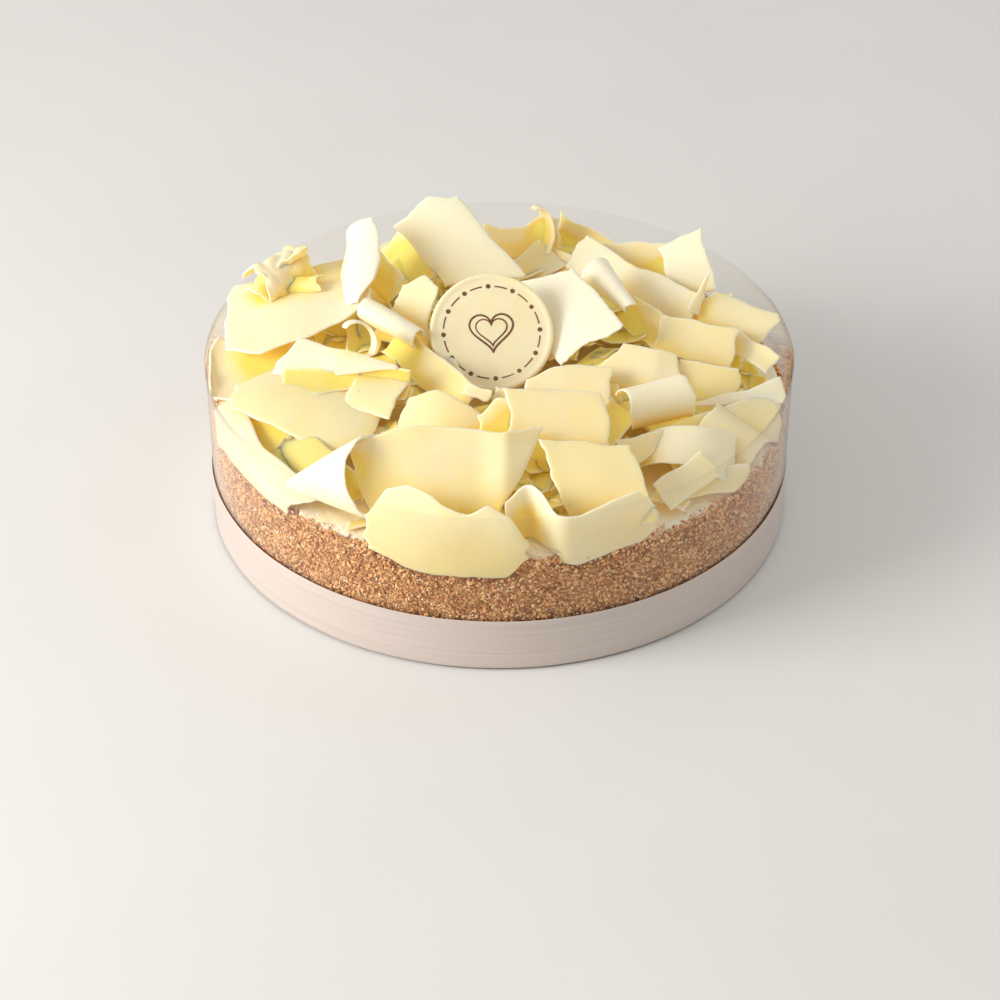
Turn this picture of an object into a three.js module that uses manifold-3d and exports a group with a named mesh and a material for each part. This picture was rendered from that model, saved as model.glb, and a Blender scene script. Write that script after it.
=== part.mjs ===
// A round celebration cake, 8 inches across, built at real size in millimetres with +Z up.
// A crumb-coated body holds a shallow bed of cream. On the cream lies a loose heap of large bent
// shavings of white chocolate with a round chocolate plaque leaning back among them. A clear strip
// of film is wrapped round the side and stands above the cream, and a satin ribbon runs round its foot.
// The origin is the middle of the underside. The side at -Y is the front.

import * as THREE from 'three';
import { mergeVertices } from 'three/addons/utils/BufferGeometryUtils.js';
import Module from 'manifold-3d';

const wasm = await Module();
wasm.setup();

// ---- driving dimensions, millimetres and degrees ----

const GAP = 0.3; // clearance left between pieces that touch
const ROUND_STEPS = 60; // facets round the cake
const ROUND_STEPS_INSIDE = 40; // facets round the plaque and the bed of small shavings

const CAKE_RADIUS = 99.2; // over the crumb coat
const CAKE_HEIGHT = 42;
const RIM_WIDTH = 3.8; // crumbs that wrap over the top edge
const RIM_WAVE = 1.1; // unevenness of the crumb line
const RIM_DIP = 0.4; // how much the crumbs fall towards the cream
const EDGE_ROUNDING = 2.2;
const CHAMFER_SHARE = 0.3; // where the middle facet of the rounding begins

const CREAM_DEPTH = 4;
const CREAM_CROWN = 0.3; // how much the cream stands up in the middle
const CREAM_CLEARANCE = 0.45; // from the crumb rim
const CREAM_EDGE = [1.5, 0.6]; // width and drop of the eased edge

const FILM_RADIUS = 99.6; // inner face of the clear strip
const FILM_THICKNESS = 0.3;
const FILM_HEIGHT = 60;
const FILM_START = -12; // degrees, where the strip begins
const FILM_LAP = 16; // degrees of overlap

const RIBBON_RADIUS = 100.9;
const RIBBON_THICKNESS = 0.4;
const RIBBON_HEIGHT = 19;
const RIBBON_FOOT = 0.9; // the ribbon's height above the underside
const RIBBON_START = 118;
const RIBBON_LAP = 10;
const RAMP = 5; // degrees over which a lapped end steps outwards

const PLAQUE_DIAMETER = 42;
const PLAQUE_THICKNESS = 3;
const PLAQUE_PLACE = [-2.5, -0.3, 64.8];
const PLAQUE_TURN = 6; // degrees from facing the front
const PLAQUE_LEAN = 50; // degrees from upright
const PLAQUE_EASE = 0.6; // bevel of its edges
const HOLLOW_DEPTH = 12; // open space before the plaque's face
const HOLLOW_MARGIN = 2; // how much wider than the plaque it is

const HEAP_RADIUS = 90; // the bed of small shavings
const HEAP_HEIGHT = 14;
const HEAP_EDGE = 1; // thickness at the outline
const HEAP_ROUNDNESS = 0.6; // exponent of the dome: 0.5 is round, 1 is a parabola
const HEAP_WAVE = 0.05;
const HEAP_RINGS = 6;

const SHAVING_THICKNESS = 1;
const PATH_STEPS = 24; // steps from the middle of a bent line to its end
const DEGREES_PER_FACET = 30;
const OVERHANG = 2.6; // how far in from the side a sheet can already hang past the crumbs
const CRUMB_CLIMB = [6, 3]; // how far in from the side a sheet begins and ends to climb on to the crumbs
const LEAST_STEPS = 3;
const LEAST_FOLDED_STEPS = 8;
const HANGING = ['left_rim', 'front_arch', 'front_right'];

// ---- the large shavings ----
// Each is a flat sheet with an uneven outline, bent and then placed.
// at: its middle. aim: heading of its length in plan, slope of its length, roll about its length.
// size: length and width. ends: width at the start and the end, as a share of the width.
// slant: skew of the outline. start, end: how far places along the two ends move towards the end,
// from right to left. right, left: how far places along the two sides move to the left, from start to end.
// arc: bend across the width. bow: bend along the length. folds: [where, width, angle].
// tip, tail: further bend that grows towards the end and the start.

const SHAVINGS = {
  back_tall: {
    at: [-15.5, 45, 73], aim: [139, 32, -37], size: [34, 24], start: [-7, 7], end: [-3, 2, 3, 2],
    arc: -25,
  },
  left_wide: {
    at: [-70, 15, 66], aim: [6, 8, 6], size: [52, 42], right: [7, 1, 3, 8, 15],
    left: [0, 0, 0, 3, 6], start: [0, 3], arc: -15, bow: -15, tip: 25,
  },
  left_flap: {
    at: [-49, 28, 76.5], aim: [88, 22, -34], size: [36, 15], right: [5, 1, -1, -1, 3],
    left: [9, 6, 3, 0, 0], arc: -60,
  },
  left_crumple: {
    at: [-74.5, 29, 74], aim: [42, 2, 22], size: [20, 27], ends: [1, 1.1], arc: -200,
  },
  small_lip: {
    at: [-42.5, 34, 66.5], aim: [-60, -2, 60], size: [22, 14], arc: -110,
  },
  tan_back: {
    at: [-32, 51, 63], aim: [-62, -9, 45], size: [28, 15], arc: 20,
  },
  by_plaque: {
    at: [-30, 12, 67], aim: [-20, 0, 48], size: [15, 26], start: [-4, 3], left: [-5, 0, -4],
    arc: -40,
  },
  roll_left: {
    at: [-37.5, 0.5, 70.5], aim: [-40, -6, 30], size: [25, 17], arc: -290,
  },
  hook_left: {
    at: [-43.5, -11.5, 74], aim: [-10, -50, -36], size: [20, 7], bow: -150, tail: -40,
  },
  point_left: {
    at: [-53, -20, 66.5], aim: [-14, 2, 34], size: [40, 15], ends: [1, 0.1], start: [-3, 4],
    right: [0, -4, -2, 0], arc: -40, bow: -10,
  },
  under_point: {
    at: [-59, -25, 61], aim: [-4, 0, 30], size: [26, 9], right: [3, -1, 3], arc: 60,
  },
  left_cup: {
    at: [-87, -6, 51], aim: [-10, 5, 15], size: [30, 28], arc: 60, tail: 60,
  },
  cone: {
    at: [-58, -73, 57], aim: [-29, 29, 50], size: [25, 46], ends: [0.12, 1], arc: -190,
    left: [0, 5], end: [0, 0, 4],
  },
  left_front: {
    at: [-64, -35, 58.5], aim: [-12, -3, 14], size: [50, 27], left: [-8, 5, 4, 2, 0],
    right: [9, 5, 1, -3, 1], arc: -30, bow: -15,
  },
  left_rim: {
    at: [-80.5, -51, 51.5], aim: [-56, -4, 32], size: [50, 32], arc: -120, bow: -20,
    start: [-5, -4, -3], left: [-5, -9, -12, -11, -7], right: [0, 4, 5, 5, 7], end: [1, 4, 8],
  },
  front_centre: {
    at: [-18, -77, 57], aim: [-3, 0, 42], size: [66, 31], ends: [0.85, 1], start: [13, 6, 3],
    end: [-17, -8, 1], left: [0, 6, 4, 3, 6], arc: -15, bow: -6,
    folds: [[0.35, 0.2, 14], [0.6, 0.15, -38]],
  },
  front_arch: {
    at: [-17, -95.5, 49], aim: [-9.5, 0, 72], size: [52, 26], arc: -25, bow: -30,
    left: [-8, 1, 2, 0.5, -2.5, -4, -1.5, -4.5, -12], right: [6, 4, 2, 1, 0, -1, -1, 0, 8],
  },
  front_right: {
    at: [27, -93, 50], aim: [17, 0, 80], size: [50, 18], start: [-6, -4],
    left: [1, 3, 2, -2, -2, -1, 0, 1, -6], right: [-2, -3, -3, -1, -1, 0, 0, 0, 4], bow: -32,
    folds: [[-0.85, 0.3, 95], [-0.3, 0.35, -57]],
  },
  right_mid_front: {
    at: [31.5, -77, 58.5], aim: [-2, -4, 38], size: [29, 26], slant: -11, arc: -40,
  },
  centre_mid: {
    at: [19, -55, 65], aim: [-2, -3, 38], size: [32, 24], slant: -4, arc: -40,
  },
  centre_small: {
    at: [-1, -49, 62], aim: [-8, 0, 60], size: [11, 15], left: [-6, 0, 0],
  },
  centre_dome: {
    at: [-18, -46, 61], aim: [-14, 0, 38], size: [30, 20], ends: [1, 0.8], left: [-3, 1, -2, -6],
    arc: -50, bow: -50,
  },
  strip_long: {
    at: [-23, -16, 59.5], aim: [-51, -6, 38], size: [42, 12], right: [0, 1, 0, -1, 0],
  },
  tube_mid: {
    at: [-38, -26, 61], aim: [-12, -4, 35], size: [17, 13], arc: 120,
  },
  sheet_mid: {
    at: [-41, -31, 61], aim: [-24, 0, 20], size: [17, 16], arc: -30,
  },
  under_plaque: {
    at: [-19.5, -11, 58], aim: [-60, -10, 30], size: [16, 10],
  },
  chip_a: {
    at: [-7, -31, 61], aim: [-30, 0, 40], size: [10, 4],
  },
  chip_b: {
    at: [3, -32, 59], aim: [-15, 0, 40], size: [10, 7],
  },
  right_plaque: {
    at: [24, 6.6, 67], aim: [-60, -11, 30], size: [32, 25], start: [-12, 0], end: [-3, 0],
    arc: -20,
  },
  right_low: {
    at: [23, -24, 60], aim: [-8, -1, 30], size: [28, 16], left: [-8, -2, 0, 0], arc: -30,
  },
  back_mid: {
    at: [8, 66, 64], aim: [-2, 0, 50], size: [28, 14], left: [-2, -4, -3, 1, 0],
    right: [7, 3, -2, -1, 3], arc: 20, bow: 20,
  },
  back_hook: {
    at: [17, 68, 69.5], aim: [90, 80, -60], size: [20, 14], ends: [1.3, 0.2], bow: 100, tip: 90,
  },
  back_tan: {
    at: [32, 70, 61.5], aim: [-25, -5, 60], size: [24, 9], ends: [1.4, 0.3], arc: 20,
  },
  back_long: {
    at: [47, 37, 62], aim: [-38, -3, 36], size: [54, 19], left: [0, -1, -3, -3, -2],
    right: [5, 0, -3, -4, 4], arc: -25,
  },
  white_roll: {
    at: [38, 22, 71], aim: [-61, -7, 30], size: [27, 13], ends: [1.3, 0.5], arc: -170,
  },
  back_yellow: {
    at: [50, 53, 60.5], aim: [-4, 2, 40], size: [26, 16], arc: 30,
  },
  back_peak: {
    at: [66, 42, 67.5], aim: [0, 18, 38], size: [16, 24], left: [-3, 0], arc: -30,
  },
  spike: {
    at: [70, 24, 66], aim: [60, 40, 40], size: [16, 4], ends: [1.2, 0.1],
  },
  right_film: {
    at: [82.5, 17.5, 59.5], aim: [-27, -7, 35], size: [27, 15], start: [-4, 2], end: [-3, 1],
    arc: -50,
  },
  right_square: {
    at: [67.3, 3.8, 59], aim: [-16, -4, 40], size: [27, 14.5], arc: -15,
  },
  right_strip: {
    at: [86, 3, 55.5], aim: [-40, -10, 30], size: [20, 8], arc: 30,
  },
  right_blade: {
    at: [79, -26, 55.5], aim: [16, 0, 40], size: [34, 6], ends: [0.1, 1.4],
  },
  right_yellow: {
    at: [70, -38.5, 52], aim: [24, -4, 40], size: [52, 12], ends: [0.3, 1.5], arc: -20,
  },
  right_tube: {
    at: [52.5, -36, 64], aim: [20, 2, 30], size: [22, 24], arc: -200,
  },
  right_upper: {
    at: [48, -15.5, 60], aim: [-18, 0, 30], size: [26, 18], start: [-5, 4], end: [4, -3], arc: -30,
    folds: [[0.3, 0.3, -14]],
  },
  right_inner: {
    at: [70, -17, 55.5], aim: [-6, -8, 30], size: [21, 14], arc: 20,
  },
  right_arch: {
    at: [60, -54, 56], aim: [-8, 0, 25], size: [38, 15], ends: [0.8, 1.2], bow: -115,
  },
  right_back_arch: {
    at: [76, -43, 52], aim: [-32, -20, 20], size: [21, 21], arc: -100,
  },
  right_leaf: {
    at: [49, -52, 55.5], aim: [36, 4, 40], size: [22, 8], ends: [1.4, 0.2],
  },
  right_lower: {
    at: [60, -66.5, 51], aim: [37, 12, 35], size: [21, 10], arc: -20,
  },
  right_rim: {
    at: [67, -64, 46.5], aim: [26, 0, 40], size: [34, 7], ends: [0.4, 1.2],
  },
  mid_tan: {
    at: [50, 14, 60.5], aim: [-45, -8, 38], size: [21, 12],
  },
  back_low: {
    at: [19, 59, 55], aim: [-8, -4, 24], size: [38, 22], arc: -20,
  },
};

// ---- helpers ----

const radians = THREE.MathUtils.degToRad;

// Turns a closed geometry into a solid that can be cut.
function solidOf(geometry) {
  geometry.deleteAttribute('normal');
  geometry.deleteAttribute('uv');
  const merged = mergeVertices(geometry, 1e-4);
  const corners = merged.index.array;
  const kept = [];
  for (let i = 0; i < corners.length; i += 3) {
    const [a, b, c] = [corners[i], corners[i + 1], corners[i + 2]];
    if (a !== b && b !== c && c !== a) kept.push(a, b, c);
  }
  const vertProperties = new Float32Array(merged.attributes.position.array);
  return new wasm.Manifold(new wasm.Mesh({ numProp: 3, vertProperties, triVerts: new Uint32Array(kept) }));
}

// Turns a cut solid back into a geometry.
function geometryOf(solid) {
  const mesh = solid.getMesh();
  const geometry = new THREE.BufferGeometry();
  geometry.setAttribute('position', new THREE.BufferAttribute(new Float32Array(mesh.vertProperties), 3));
  geometry.setIndex([...mesh.triVerts]);
  return geometry;
}

// Applies a function of a point to every vertex.
function shape(geometry, move) {
  const position = geometry.attributes.position;
  const point = new THREE.Vector3();
  for (let i = 0; i < position.count; i += 1) {
    point.fromBufferAttribute(position, i);
    move(point);
    position.setXYZ(i, point.x, point.y, point.z);
  }
  return geometry;
}

// A slow unevenness round the cake, between -1 and 1.
function unevenness(azimuth) {
  return 0.5 * Math.sin(3 * azimuth + 0.6) + 0.3 * Math.sin(7 * azimuth + 2) + 0.2 * Math.sin(13 * azimuth);
}

// A profile of [radius, height] points turned about the cake's axis.
function turned(profile, steps = ROUND_STEPS) {
  const points = profile.map(([radius, height]) => new THREE.Vector2(radius, height));
  return new THREE.LatheGeometry(points, steps).rotateX(Math.PI / 2);
}

function mesh(name, geometry, color, roughness, extra = {}) {
  const material = new THREE.MeshStandardMaterial({ color, roughness, metalness: 0, ...extra });
  const piece = new THREE.Mesh(geometry, material);
  piece.name = name;
  return piece;
}

// ---- cake body and cream ----

// The body out to its crumb coat. The crumbs wrap over the top edge as an uneven rim round the cream.
function cakeBody(grow = 0) {
  const outside = CAKE_RADIUS + grow;
  const top = CAKE_HEIGHT + grow;
  const rim = CAKE_RADIUS - RIM_WIDTH;
  const floor = CAKE_HEIGHT - CREAM_DEPTH;
  const profile = [
    [0, 0],
    [outside, 0],
    [outside, top - EDGE_ROUNDING],
    [outside - CHAMFER_SHARE * EDGE_ROUNDING, top - CHAMFER_SHARE * EDGE_ROUNDING],
    [outside - EDGE_ROUNDING, top],
    [rim, top - RIM_DIP],
    [rim, floor],
    [0, floor],
  ];
  return shape(turned(profile), (point) => {
    const onRim = point.z > CAKE_HEIGHT - CREAM_DEPTH + GAP;
    if (onRim) point.z += RIM_WAVE * unevenness(Math.atan2(point.y, point.x));
  });
}

// The cream inside the crumb rim.
function creamTop(grow = 0) {
  const [easeWidth, easeDrop] = CREAM_EDGE;
  const radius = CAKE_RADIUS - RIM_WIDTH - CREAM_CLEARANCE + grow;
  const foot = CAKE_HEIGHT - CREAM_DEPTH + GAP - grow;
  const profile = [
    [0, foot],
    [radius, foot],
    [radius, CAKE_HEIGHT - easeDrop + grow],
    [radius - easeWidth, CAKE_HEIGHT + grow],
    [0, CAKE_HEIGHT + CREAM_CROWN + grow],
  ];
  return turned(profile);
}

// ---- film and ribbon ----

// A strip wound once round the cake, whose last degrees lap over its start with a gap between.
function lappedBand(radius, thickness, foot, height, start, lap) {
  const steps = ROUND_STEPS + 4; // a few more for the lap
  const total = 360 + lap;
  const outer = [];
  const inner = [];
  for (let i = 0; i <= steps; i += 1) {
    const along = (total * i) / steps;
    const lift = THREE.MathUtils.smoothstep(along, 360 - RAMP, 360 - 0.5) * (thickness + GAP);
    const angle = radians(start + along);
    const direction = new THREE.Vector2(Math.cos(angle), Math.sin(angle));
    outer.push(direction.clone().multiplyScalar(radius + thickness + lift));
    inner.push(direction.clone().multiplyScalar(radius + lift));
  }
  const outline = new THREE.Shape([...outer, ...inner.reverse()]);
  const band = new THREE.ExtrudeGeometry(outline, { depth: height, bevelEnabled: false });
  return band.translate(0, 0, foot);
}

// ---- plaque ----

// A disc with eased edges, face to +Z before it is placed.
function plaqueDisc(grow = 0) {
  const radius = PLAQUE_DIAMETER / 2 + grow;
  const half = PLAQUE_THICKNESS / 2 + grow;
  const profile = [
    [0, -half],
    [radius - PLAQUE_EASE, -half],
    [radius, PLAQUE_EASE - half],
    [radius, half - PLAQUE_EASE],
    [radius - PLAQUE_EASE, half],
    [0, half],
  ];
  return turned(profile, ROUND_STEPS_INSIDE);
}

// The open space before the disc's face, where the small shavings leave it in sight.
function plaqueHollow() {
  const radius = PLAQUE_DIAMETER / 2 + HOLLOW_MARGIN;
  const face = PLAQUE_THICKNESS / 2;
  const open = face + HOLLOW_DEPTH;
  return turned([[0, face], [radius, face], [radius, open], [0, open]], ROUND_STEPS_INSIDE);
}

// Stands the disc up in the heap, leaning back and turned a little to the right.
function standPlaque(geometry) {
  return geometry
    .rotateX(radians(90 - PLAQUE_LEAN))
    .rotateZ(radians(PLAQUE_TURN))
    .translate(...PLAQUE_PLACE);
}

// ---- the bed of small shavings ----

// A low uneven dome on the cream, out to the outline of the small shavings.
function shavingsBed(grow = 0) {
  const foot = CAKE_HEIGHT + CREAM_CROWN + GAP - grow;
  const profile = [[0, foot]];
  for (let i = 0; i <= HEAP_RINGS; i += 1) {
    const share = 1 - i / HEAP_RINGS;
    const crown = Math.pow(1 - share * share, HEAP_ROUNDNESS);
    profile.push([share * (HEAP_RADIUS + grow), foot + HEAP_EDGE + grow + HEAP_HEIGHT * crown]);
  }
  return shape(turned(profile, ROUND_STEPS_INSIDE), (point) => {
    const azimuth = Math.atan2(point.y, point.x);
    const wave = 1 + HEAP_WAVE * unevenness(azimuth);
    point.x *= wave;
    point.y *= wave;
  });
}

// The bed with the slot that the plaque's foot stands in, and the hollow before its face.
function slottedBed() {
  return geometryOf(largest(
    solidOf(shavingsBed())
      .subtract(solidOf(standPlaque(plaqueDisc(GAP))))
      .subtract(solidOf(standPlaque(plaqueHollow()))),
  ));
}

// ---- shavings ----

// A bent line: its slope at s in -1..1 comes from a function, its points from adding up short steps.
function bentLine(slopeAt, half) {
  const step = 1 / PATH_STEPS;
  const offset = slopeAt(0);
  const slope = (s) => slopeAt(s) - offset;
  const walk = (sign) => {
    const points = [[0, 0]];
    for (let i = 0; i < PATH_STEPS; i += 1) {
      const middle = slope(sign * (i + 0.5) * step);
      const [x, y] = points[i];
      points.push([x + sign * step * half * Math.cos(middle), y + sign * step * half * Math.sin(middle)]);
    }
    return points;
  };
  const sides = { ahead: walk(1), behind: walk(-1) };
  return (s) => {
    const side = s >= 0 ? sides.ahead : sides.behind;
    const reach = Math.min(Math.abs(s), 1) * PATH_STEPS;
    const i = Math.min(Math.floor(reach), PATH_STEPS - 1);
    const [x0, y0] = side[i];
    const [x1, y1] = side[i + 1];
    const part = reach - i;
    const angle = slope(THREE.MathUtils.clamp(s, -1, 1));
    const over = (s - THREE.MathUtils.clamp(s, -1, 1)) * half;
    return {
      x: x0 + part * (x1 - x0) + over * Math.cos(angle),
      y: y0 + part * (y1 - y0) + over * Math.sin(angle),
      angle,
    };
  };
}

// Slope across the width: an even arc.
function slopeAcross({ arc = 0 }) {
  return (s) => radians((arc / 2) * s);
}

// Slope along the length: an even bow, ends that bend further, and folds.
function slopeAlong({ bow = 0, tip = 0, tail = 0, folds = [] }) {
  return (s) => {
    let degrees = (bow / 2) * s + tip * Math.max(0, s) ** 3 - tail * Math.max(0, -s) ** 3;
    for (const [where, width, angle] of folds) {
      degrees += angle * THREE.MathUtils.smoothstep(s, where - width / 2, where + width / 2);
    }
    return radians(degrees);
  };
}

function facets(degrees, least) {
  return Math.max(least, Math.ceil(Math.abs(degrees) / DEGREES_PER_FACET));
}

// How far an edge moves at s in -1..1: values evenly spaced along it, joined smoothly.
function edgeMove(s, moves) {
  const place = ((THREE.MathUtils.clamp(s, -1, 1) + 1) / 2) * (moves.length - 1);
  const first = Math.floor(place);
  const next = Math.min(first + 1, moves.length - 1);
  const share = (THREE.MathUtils.smoothstep(place - first, 0, 1) + place - first) / 2;
  return moves[first] * (1 - share) + moves[next] * share;
}

// The place u along and v across a sheet after its four edges have moved.
function moved(row, u, v) {
  const { size: [long, wide], start = [0], end = [0], right = [0], left = [0] } = row;
  const ahead = edgeMove(v, start) * (1 - u) + edgeMove(v, end) * (1 + u);
  const aside = edgeMove(u, right) * (1 - v) + edgeMove(u, left) * (1 + v);
  return [u + ahead / long, v + aside / wide];
}

// Keeps a point of a sheet inside the film, and above the cream unless it hangs past the crumbs.
function settle(point) {
  const most = FILM_RADIUS - GAP - SHAVING_THICKNESS / 2;
  const radius = Math.hypot(point.x, point.y);
  const scale = Math.min(1, most / radius);
  point.x *= scale;
  point.y *= scale;
  if (radius < CAKE_RADIUS - OVERHANG) {
    const [begin, finish] = CRUMB_CLIMB;
    const climb = THREE.MathUtils.smoothstep(radius, CAKE_RADIUS - begin, CAKE_RADIUS - finish);
    point.z = Math.max(point.z, CAKE_HEIGHT + CREAM_CROWN + GAP + SHAVING_THICKNESS / 2 + climb);
  }
  return point;
}

// Facets along a sheet: enough for its bends and for the moves of its sides.
function stepsOf(row) {
  const { arc = 0, bow = 0, tip = 0, tail = 0, folds = [] } = row;
  const { start = [0], end = [0], right = [0], left = [0] } = row;
  const folded = folds.reduce((sum, fold) => sum + Math.abs(fold[2]), 0);
  const bent = Math.abs(bow) + Math.abs(tip) + Math.abs(tail);
  const sides = Math.max(right.length, left.length) - 1;
  const along = facets(bent + 2 * folded, Math.max(folds.length ? LEAST_FOLDED_STEPS : LEAST_STEPS, sides));
  const across = facets(arc, Math.max(LEAST_STEPS, start.length - 1, end.length - 1));
  return [along, across];
}

// A thin box with its vertices carried onto the bent sheet, then placed in the heap.
function shaving(row, grow = 0) {
  const { at, aim, size: [long, wide], ends = [1, 1], slant = 0 } = row;
  const thick = SHAVING_THICKNESS + 2 * grow;
  const box = new THREE.BoxGeometry(2 + (4 * grow) / long, 2 + (4 * grow) / wide, thick, ...stepsOf(row), 1);
  const across = bentLine(slopeAcross(row), wide / 2);
  const along = bentLine(slopeAlong(row), long / 2);
  const place = placement(at, aim);
  return shape(box, (point) => {
    const [u, v] = moved(row, point.x, point.y);
    const share = ends[0] + ((ends[1] - ends[0]) * (point.x + 1)) / 2;
    const section = across(v);
    const spine = along(u + (slant * v) / long);
    const [sine, cosine] = [Math.sin(spine.angle), Math.cos(spine.angle)];
    const up = section.y * share;
    const middle = new THREE.Vector3(spine.x - up * sine, section.x * share, spine.y + up * cosine);
    const lift = Math.cos(section.angle);
    const normal = new THREE.Vector3(-lift * sine, -Math.sin(section.angle), lift * cosine);
    const offset = normal.transformDirection(place).multiplyScalar(point.z);
    point.copy(settle(middle.applyMatrix4(place))).add(offset);
  });
}

// Length along the heading, raised by the rise, then rolled about itself.
function placement(at, [turn, rise, roll]) {
  const euler = new THREE.Euler(radians(roll), radians(-rise), radians(turn), 'ZYX');
  return new THREE.Matrix4().makeRotationFromEuler(euler).setPosition(...at);
}

// The largest body of a solid that a cut may have split.
function largest(solid) {
  return solid.decompose().reduce((best, body) => (body.volume() > best.volume() ? body : best));
}

// The space a shaving may fill: within the film and clear of the cream, the bed and the plaque.
function freeSpace() {
  const tall = 3 * FILM_HEIGHT;
  const radius = FILM_RADIUS - GAP;
  return solidOf(turned([[0, 0], [radius, 0], [radius, tall], [0, tall]]))
    .subtract(solidOf(creamTop(GAP)))
    .subtract(solidOf(shavingsBed(GAP)))
    .subtract(solidOf(standPlaque(plaqueDisc(GAP))));
}

// Every shaving as a solid, each cut clear of the ones before it. Those that do not hang over the
// crumb rim are cut clear of the body too.
function shavings() {
  const space = freeSpace();
  const aboveBody = space.subtract(solidOf(cakeBody(GAP)));
  const taken = [];
  return Object.entries(SHAVINGS).map(([name, row]) => {
    let solid = solidOf(shaving(row)).intersect(HANGING.includes(name) ? space : aboveBody);
    for (const other of taken) solid = solid.subtract(other);
    taken.push(solidOf(shaving(row, GAP)));
    return [name, largest(solid)];
  });
}

// The body with a hollow behind each shaving that hangs over its rim.
function hollowedBody() {
  let solid = solidOf(cakeBody());
  for (const name of HANGING) solid = solid.subtract(solidOf(shaving(SHAVINGS[name], GAP)));
  return geometryOf(largest(solid));
}

// ---- the cake ----

const CHOCOLATE = 0xf8edc9; // colour of the shavings
const group = new THREE.Group();
group.add(mesh('cake_body', hollowedBody(), 0xc9925f, 0.9));
group.add(mesh('cream_top', creamTop(), 0xfbf5e4, 0.6));
group.add(mesh(
  'film_collar',
  lappedBand(FILM_RADIUS, FILM_THICKNESS, 0, FILM_HEIGHT, FILM_START, FILM_LAP),
  0xffffff,
  0.08,
  { transparent: true, opacity: 0.2 },
));
group.add(mesh(
  'ribbon',
  lappedBand(RIBBON_RADIUS, RIBBON_THICKNESS, RIBBON_FOOT, RIBBON_HEIGHT, RIBBON_START, RIBBON_LAP),
  0xe0d2c8,
  0.45,
));
group.add(mesh('plaque', standPlaque(plaqueDisc()), 0xf6e6bd, 0.4));
group.add(mesh('shavings_bed', slottedBed(), CHOCOLATE, 0.5));
for (const [name, solid] of shavings()) group.add(mesh(name, geometryOf(solid), CHOCOLATE, 0.42));

export default group;
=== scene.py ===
# %% [markdown]
# # A celebration cake under a heap of white chocolate shavings
# The cake is 8 inches across. Its side is coated with biscuit crumbs, its top is spread with cream, and on
# the cream lie some fifty broad shavings of white chocolate with a round plaque standing among them. A clear
# film and a satin ribbon go round it. Places and sizes are those of the imported solid model, and this script
# makes the looks: each piece is a surface worked out with numpy, and each finish is a procedural material.
# The frame comes first.

import bpy
import numpy as np
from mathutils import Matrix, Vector
from mathutils.kdtree import KDTree


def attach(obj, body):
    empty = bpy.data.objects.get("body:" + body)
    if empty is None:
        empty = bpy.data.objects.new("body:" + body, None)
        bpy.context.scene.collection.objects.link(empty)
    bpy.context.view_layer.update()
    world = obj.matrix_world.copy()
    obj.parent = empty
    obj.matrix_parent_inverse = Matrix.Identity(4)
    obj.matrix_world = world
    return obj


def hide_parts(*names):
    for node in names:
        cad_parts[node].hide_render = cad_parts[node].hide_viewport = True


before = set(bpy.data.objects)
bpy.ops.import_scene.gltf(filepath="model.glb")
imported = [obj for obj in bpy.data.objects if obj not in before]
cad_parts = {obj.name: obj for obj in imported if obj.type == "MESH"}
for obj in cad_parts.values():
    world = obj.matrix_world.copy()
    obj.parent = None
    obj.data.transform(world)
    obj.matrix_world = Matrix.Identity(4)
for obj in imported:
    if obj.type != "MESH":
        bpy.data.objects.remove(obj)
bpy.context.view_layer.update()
MM = 0.001  # all sizes below are in millimetres and all angles in degrees
scene = bpy.context.scene
print("frame:", len(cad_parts), "nodes")

# %% [markdown]
# ## The camera
# The photograph looks down on the cake at about 36 degrees through a long lens, so the rims of the round
# cake appear as flat, even ellipses. Such a lens needs a camera that stands well back. Fitting the ellipses
# of the ribbon and the film gave the place and the focal length.

# %% Camera
CAMERA_PLACE = (0, -680.6, 490.6)
CAMERA_TARGET = (0.35, 0, -5.4)
FOCAL_LENGTH = 85

camera = bpy.data.objects.new("camera", bpy.data.cameras.new("camera"))
scene.collection.objects.link(camera)
camera.data.lens = FOCAL_LENGTH
camera.data.sensor_width = 36
camera.data.clip_end = 20
camera.location = Vector(CAMERA_PLACE) * MM
camera.rotation_euler = (Vector(CAMERA_TARGET) - Vector(CAMERA_PLACE)).to_track_quat("-Z", "Y").to_euler()
scene.camera = camera

# %% [markdown]
# ## From arrays to a piece
# A surface here is an array of points in rows and columns. Neighbouring rows and columns make the faces, so
# faces are index arithmetic on whole arrays as well. One helper puts points, faces and any values that a
# material will read into a mesh, in the cake's own place, and says what the piece stands for.

# %% Mesh helpers
def grid_faces(rows, columns, wrap=False, flip=False, first=0):
    """Quads between neighbouring rows and columns. With wrap, the last column joins the first."""
    row = np.arange(rows - 1)[:, None]
    column = np.arange(columns if wrap else columns - 1)[None, :]
    a = first + row * columns + column
    b = first + row * columns + (column + 1) % columns
    quads = np.stack([a, b, b + columns, a + columns], -1).reshape(-1, 4)
    return quads[:, ::-1] if flip else quads


def cap_faces(columns):
    """Quads that fill the end of a strip whose section has this many points, half on either side."""
    near = np.arange(columns // 2 - 1)
    return np.stack([near, near + 1, columns - 2 - near, columns - 1 - near], -1)


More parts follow.
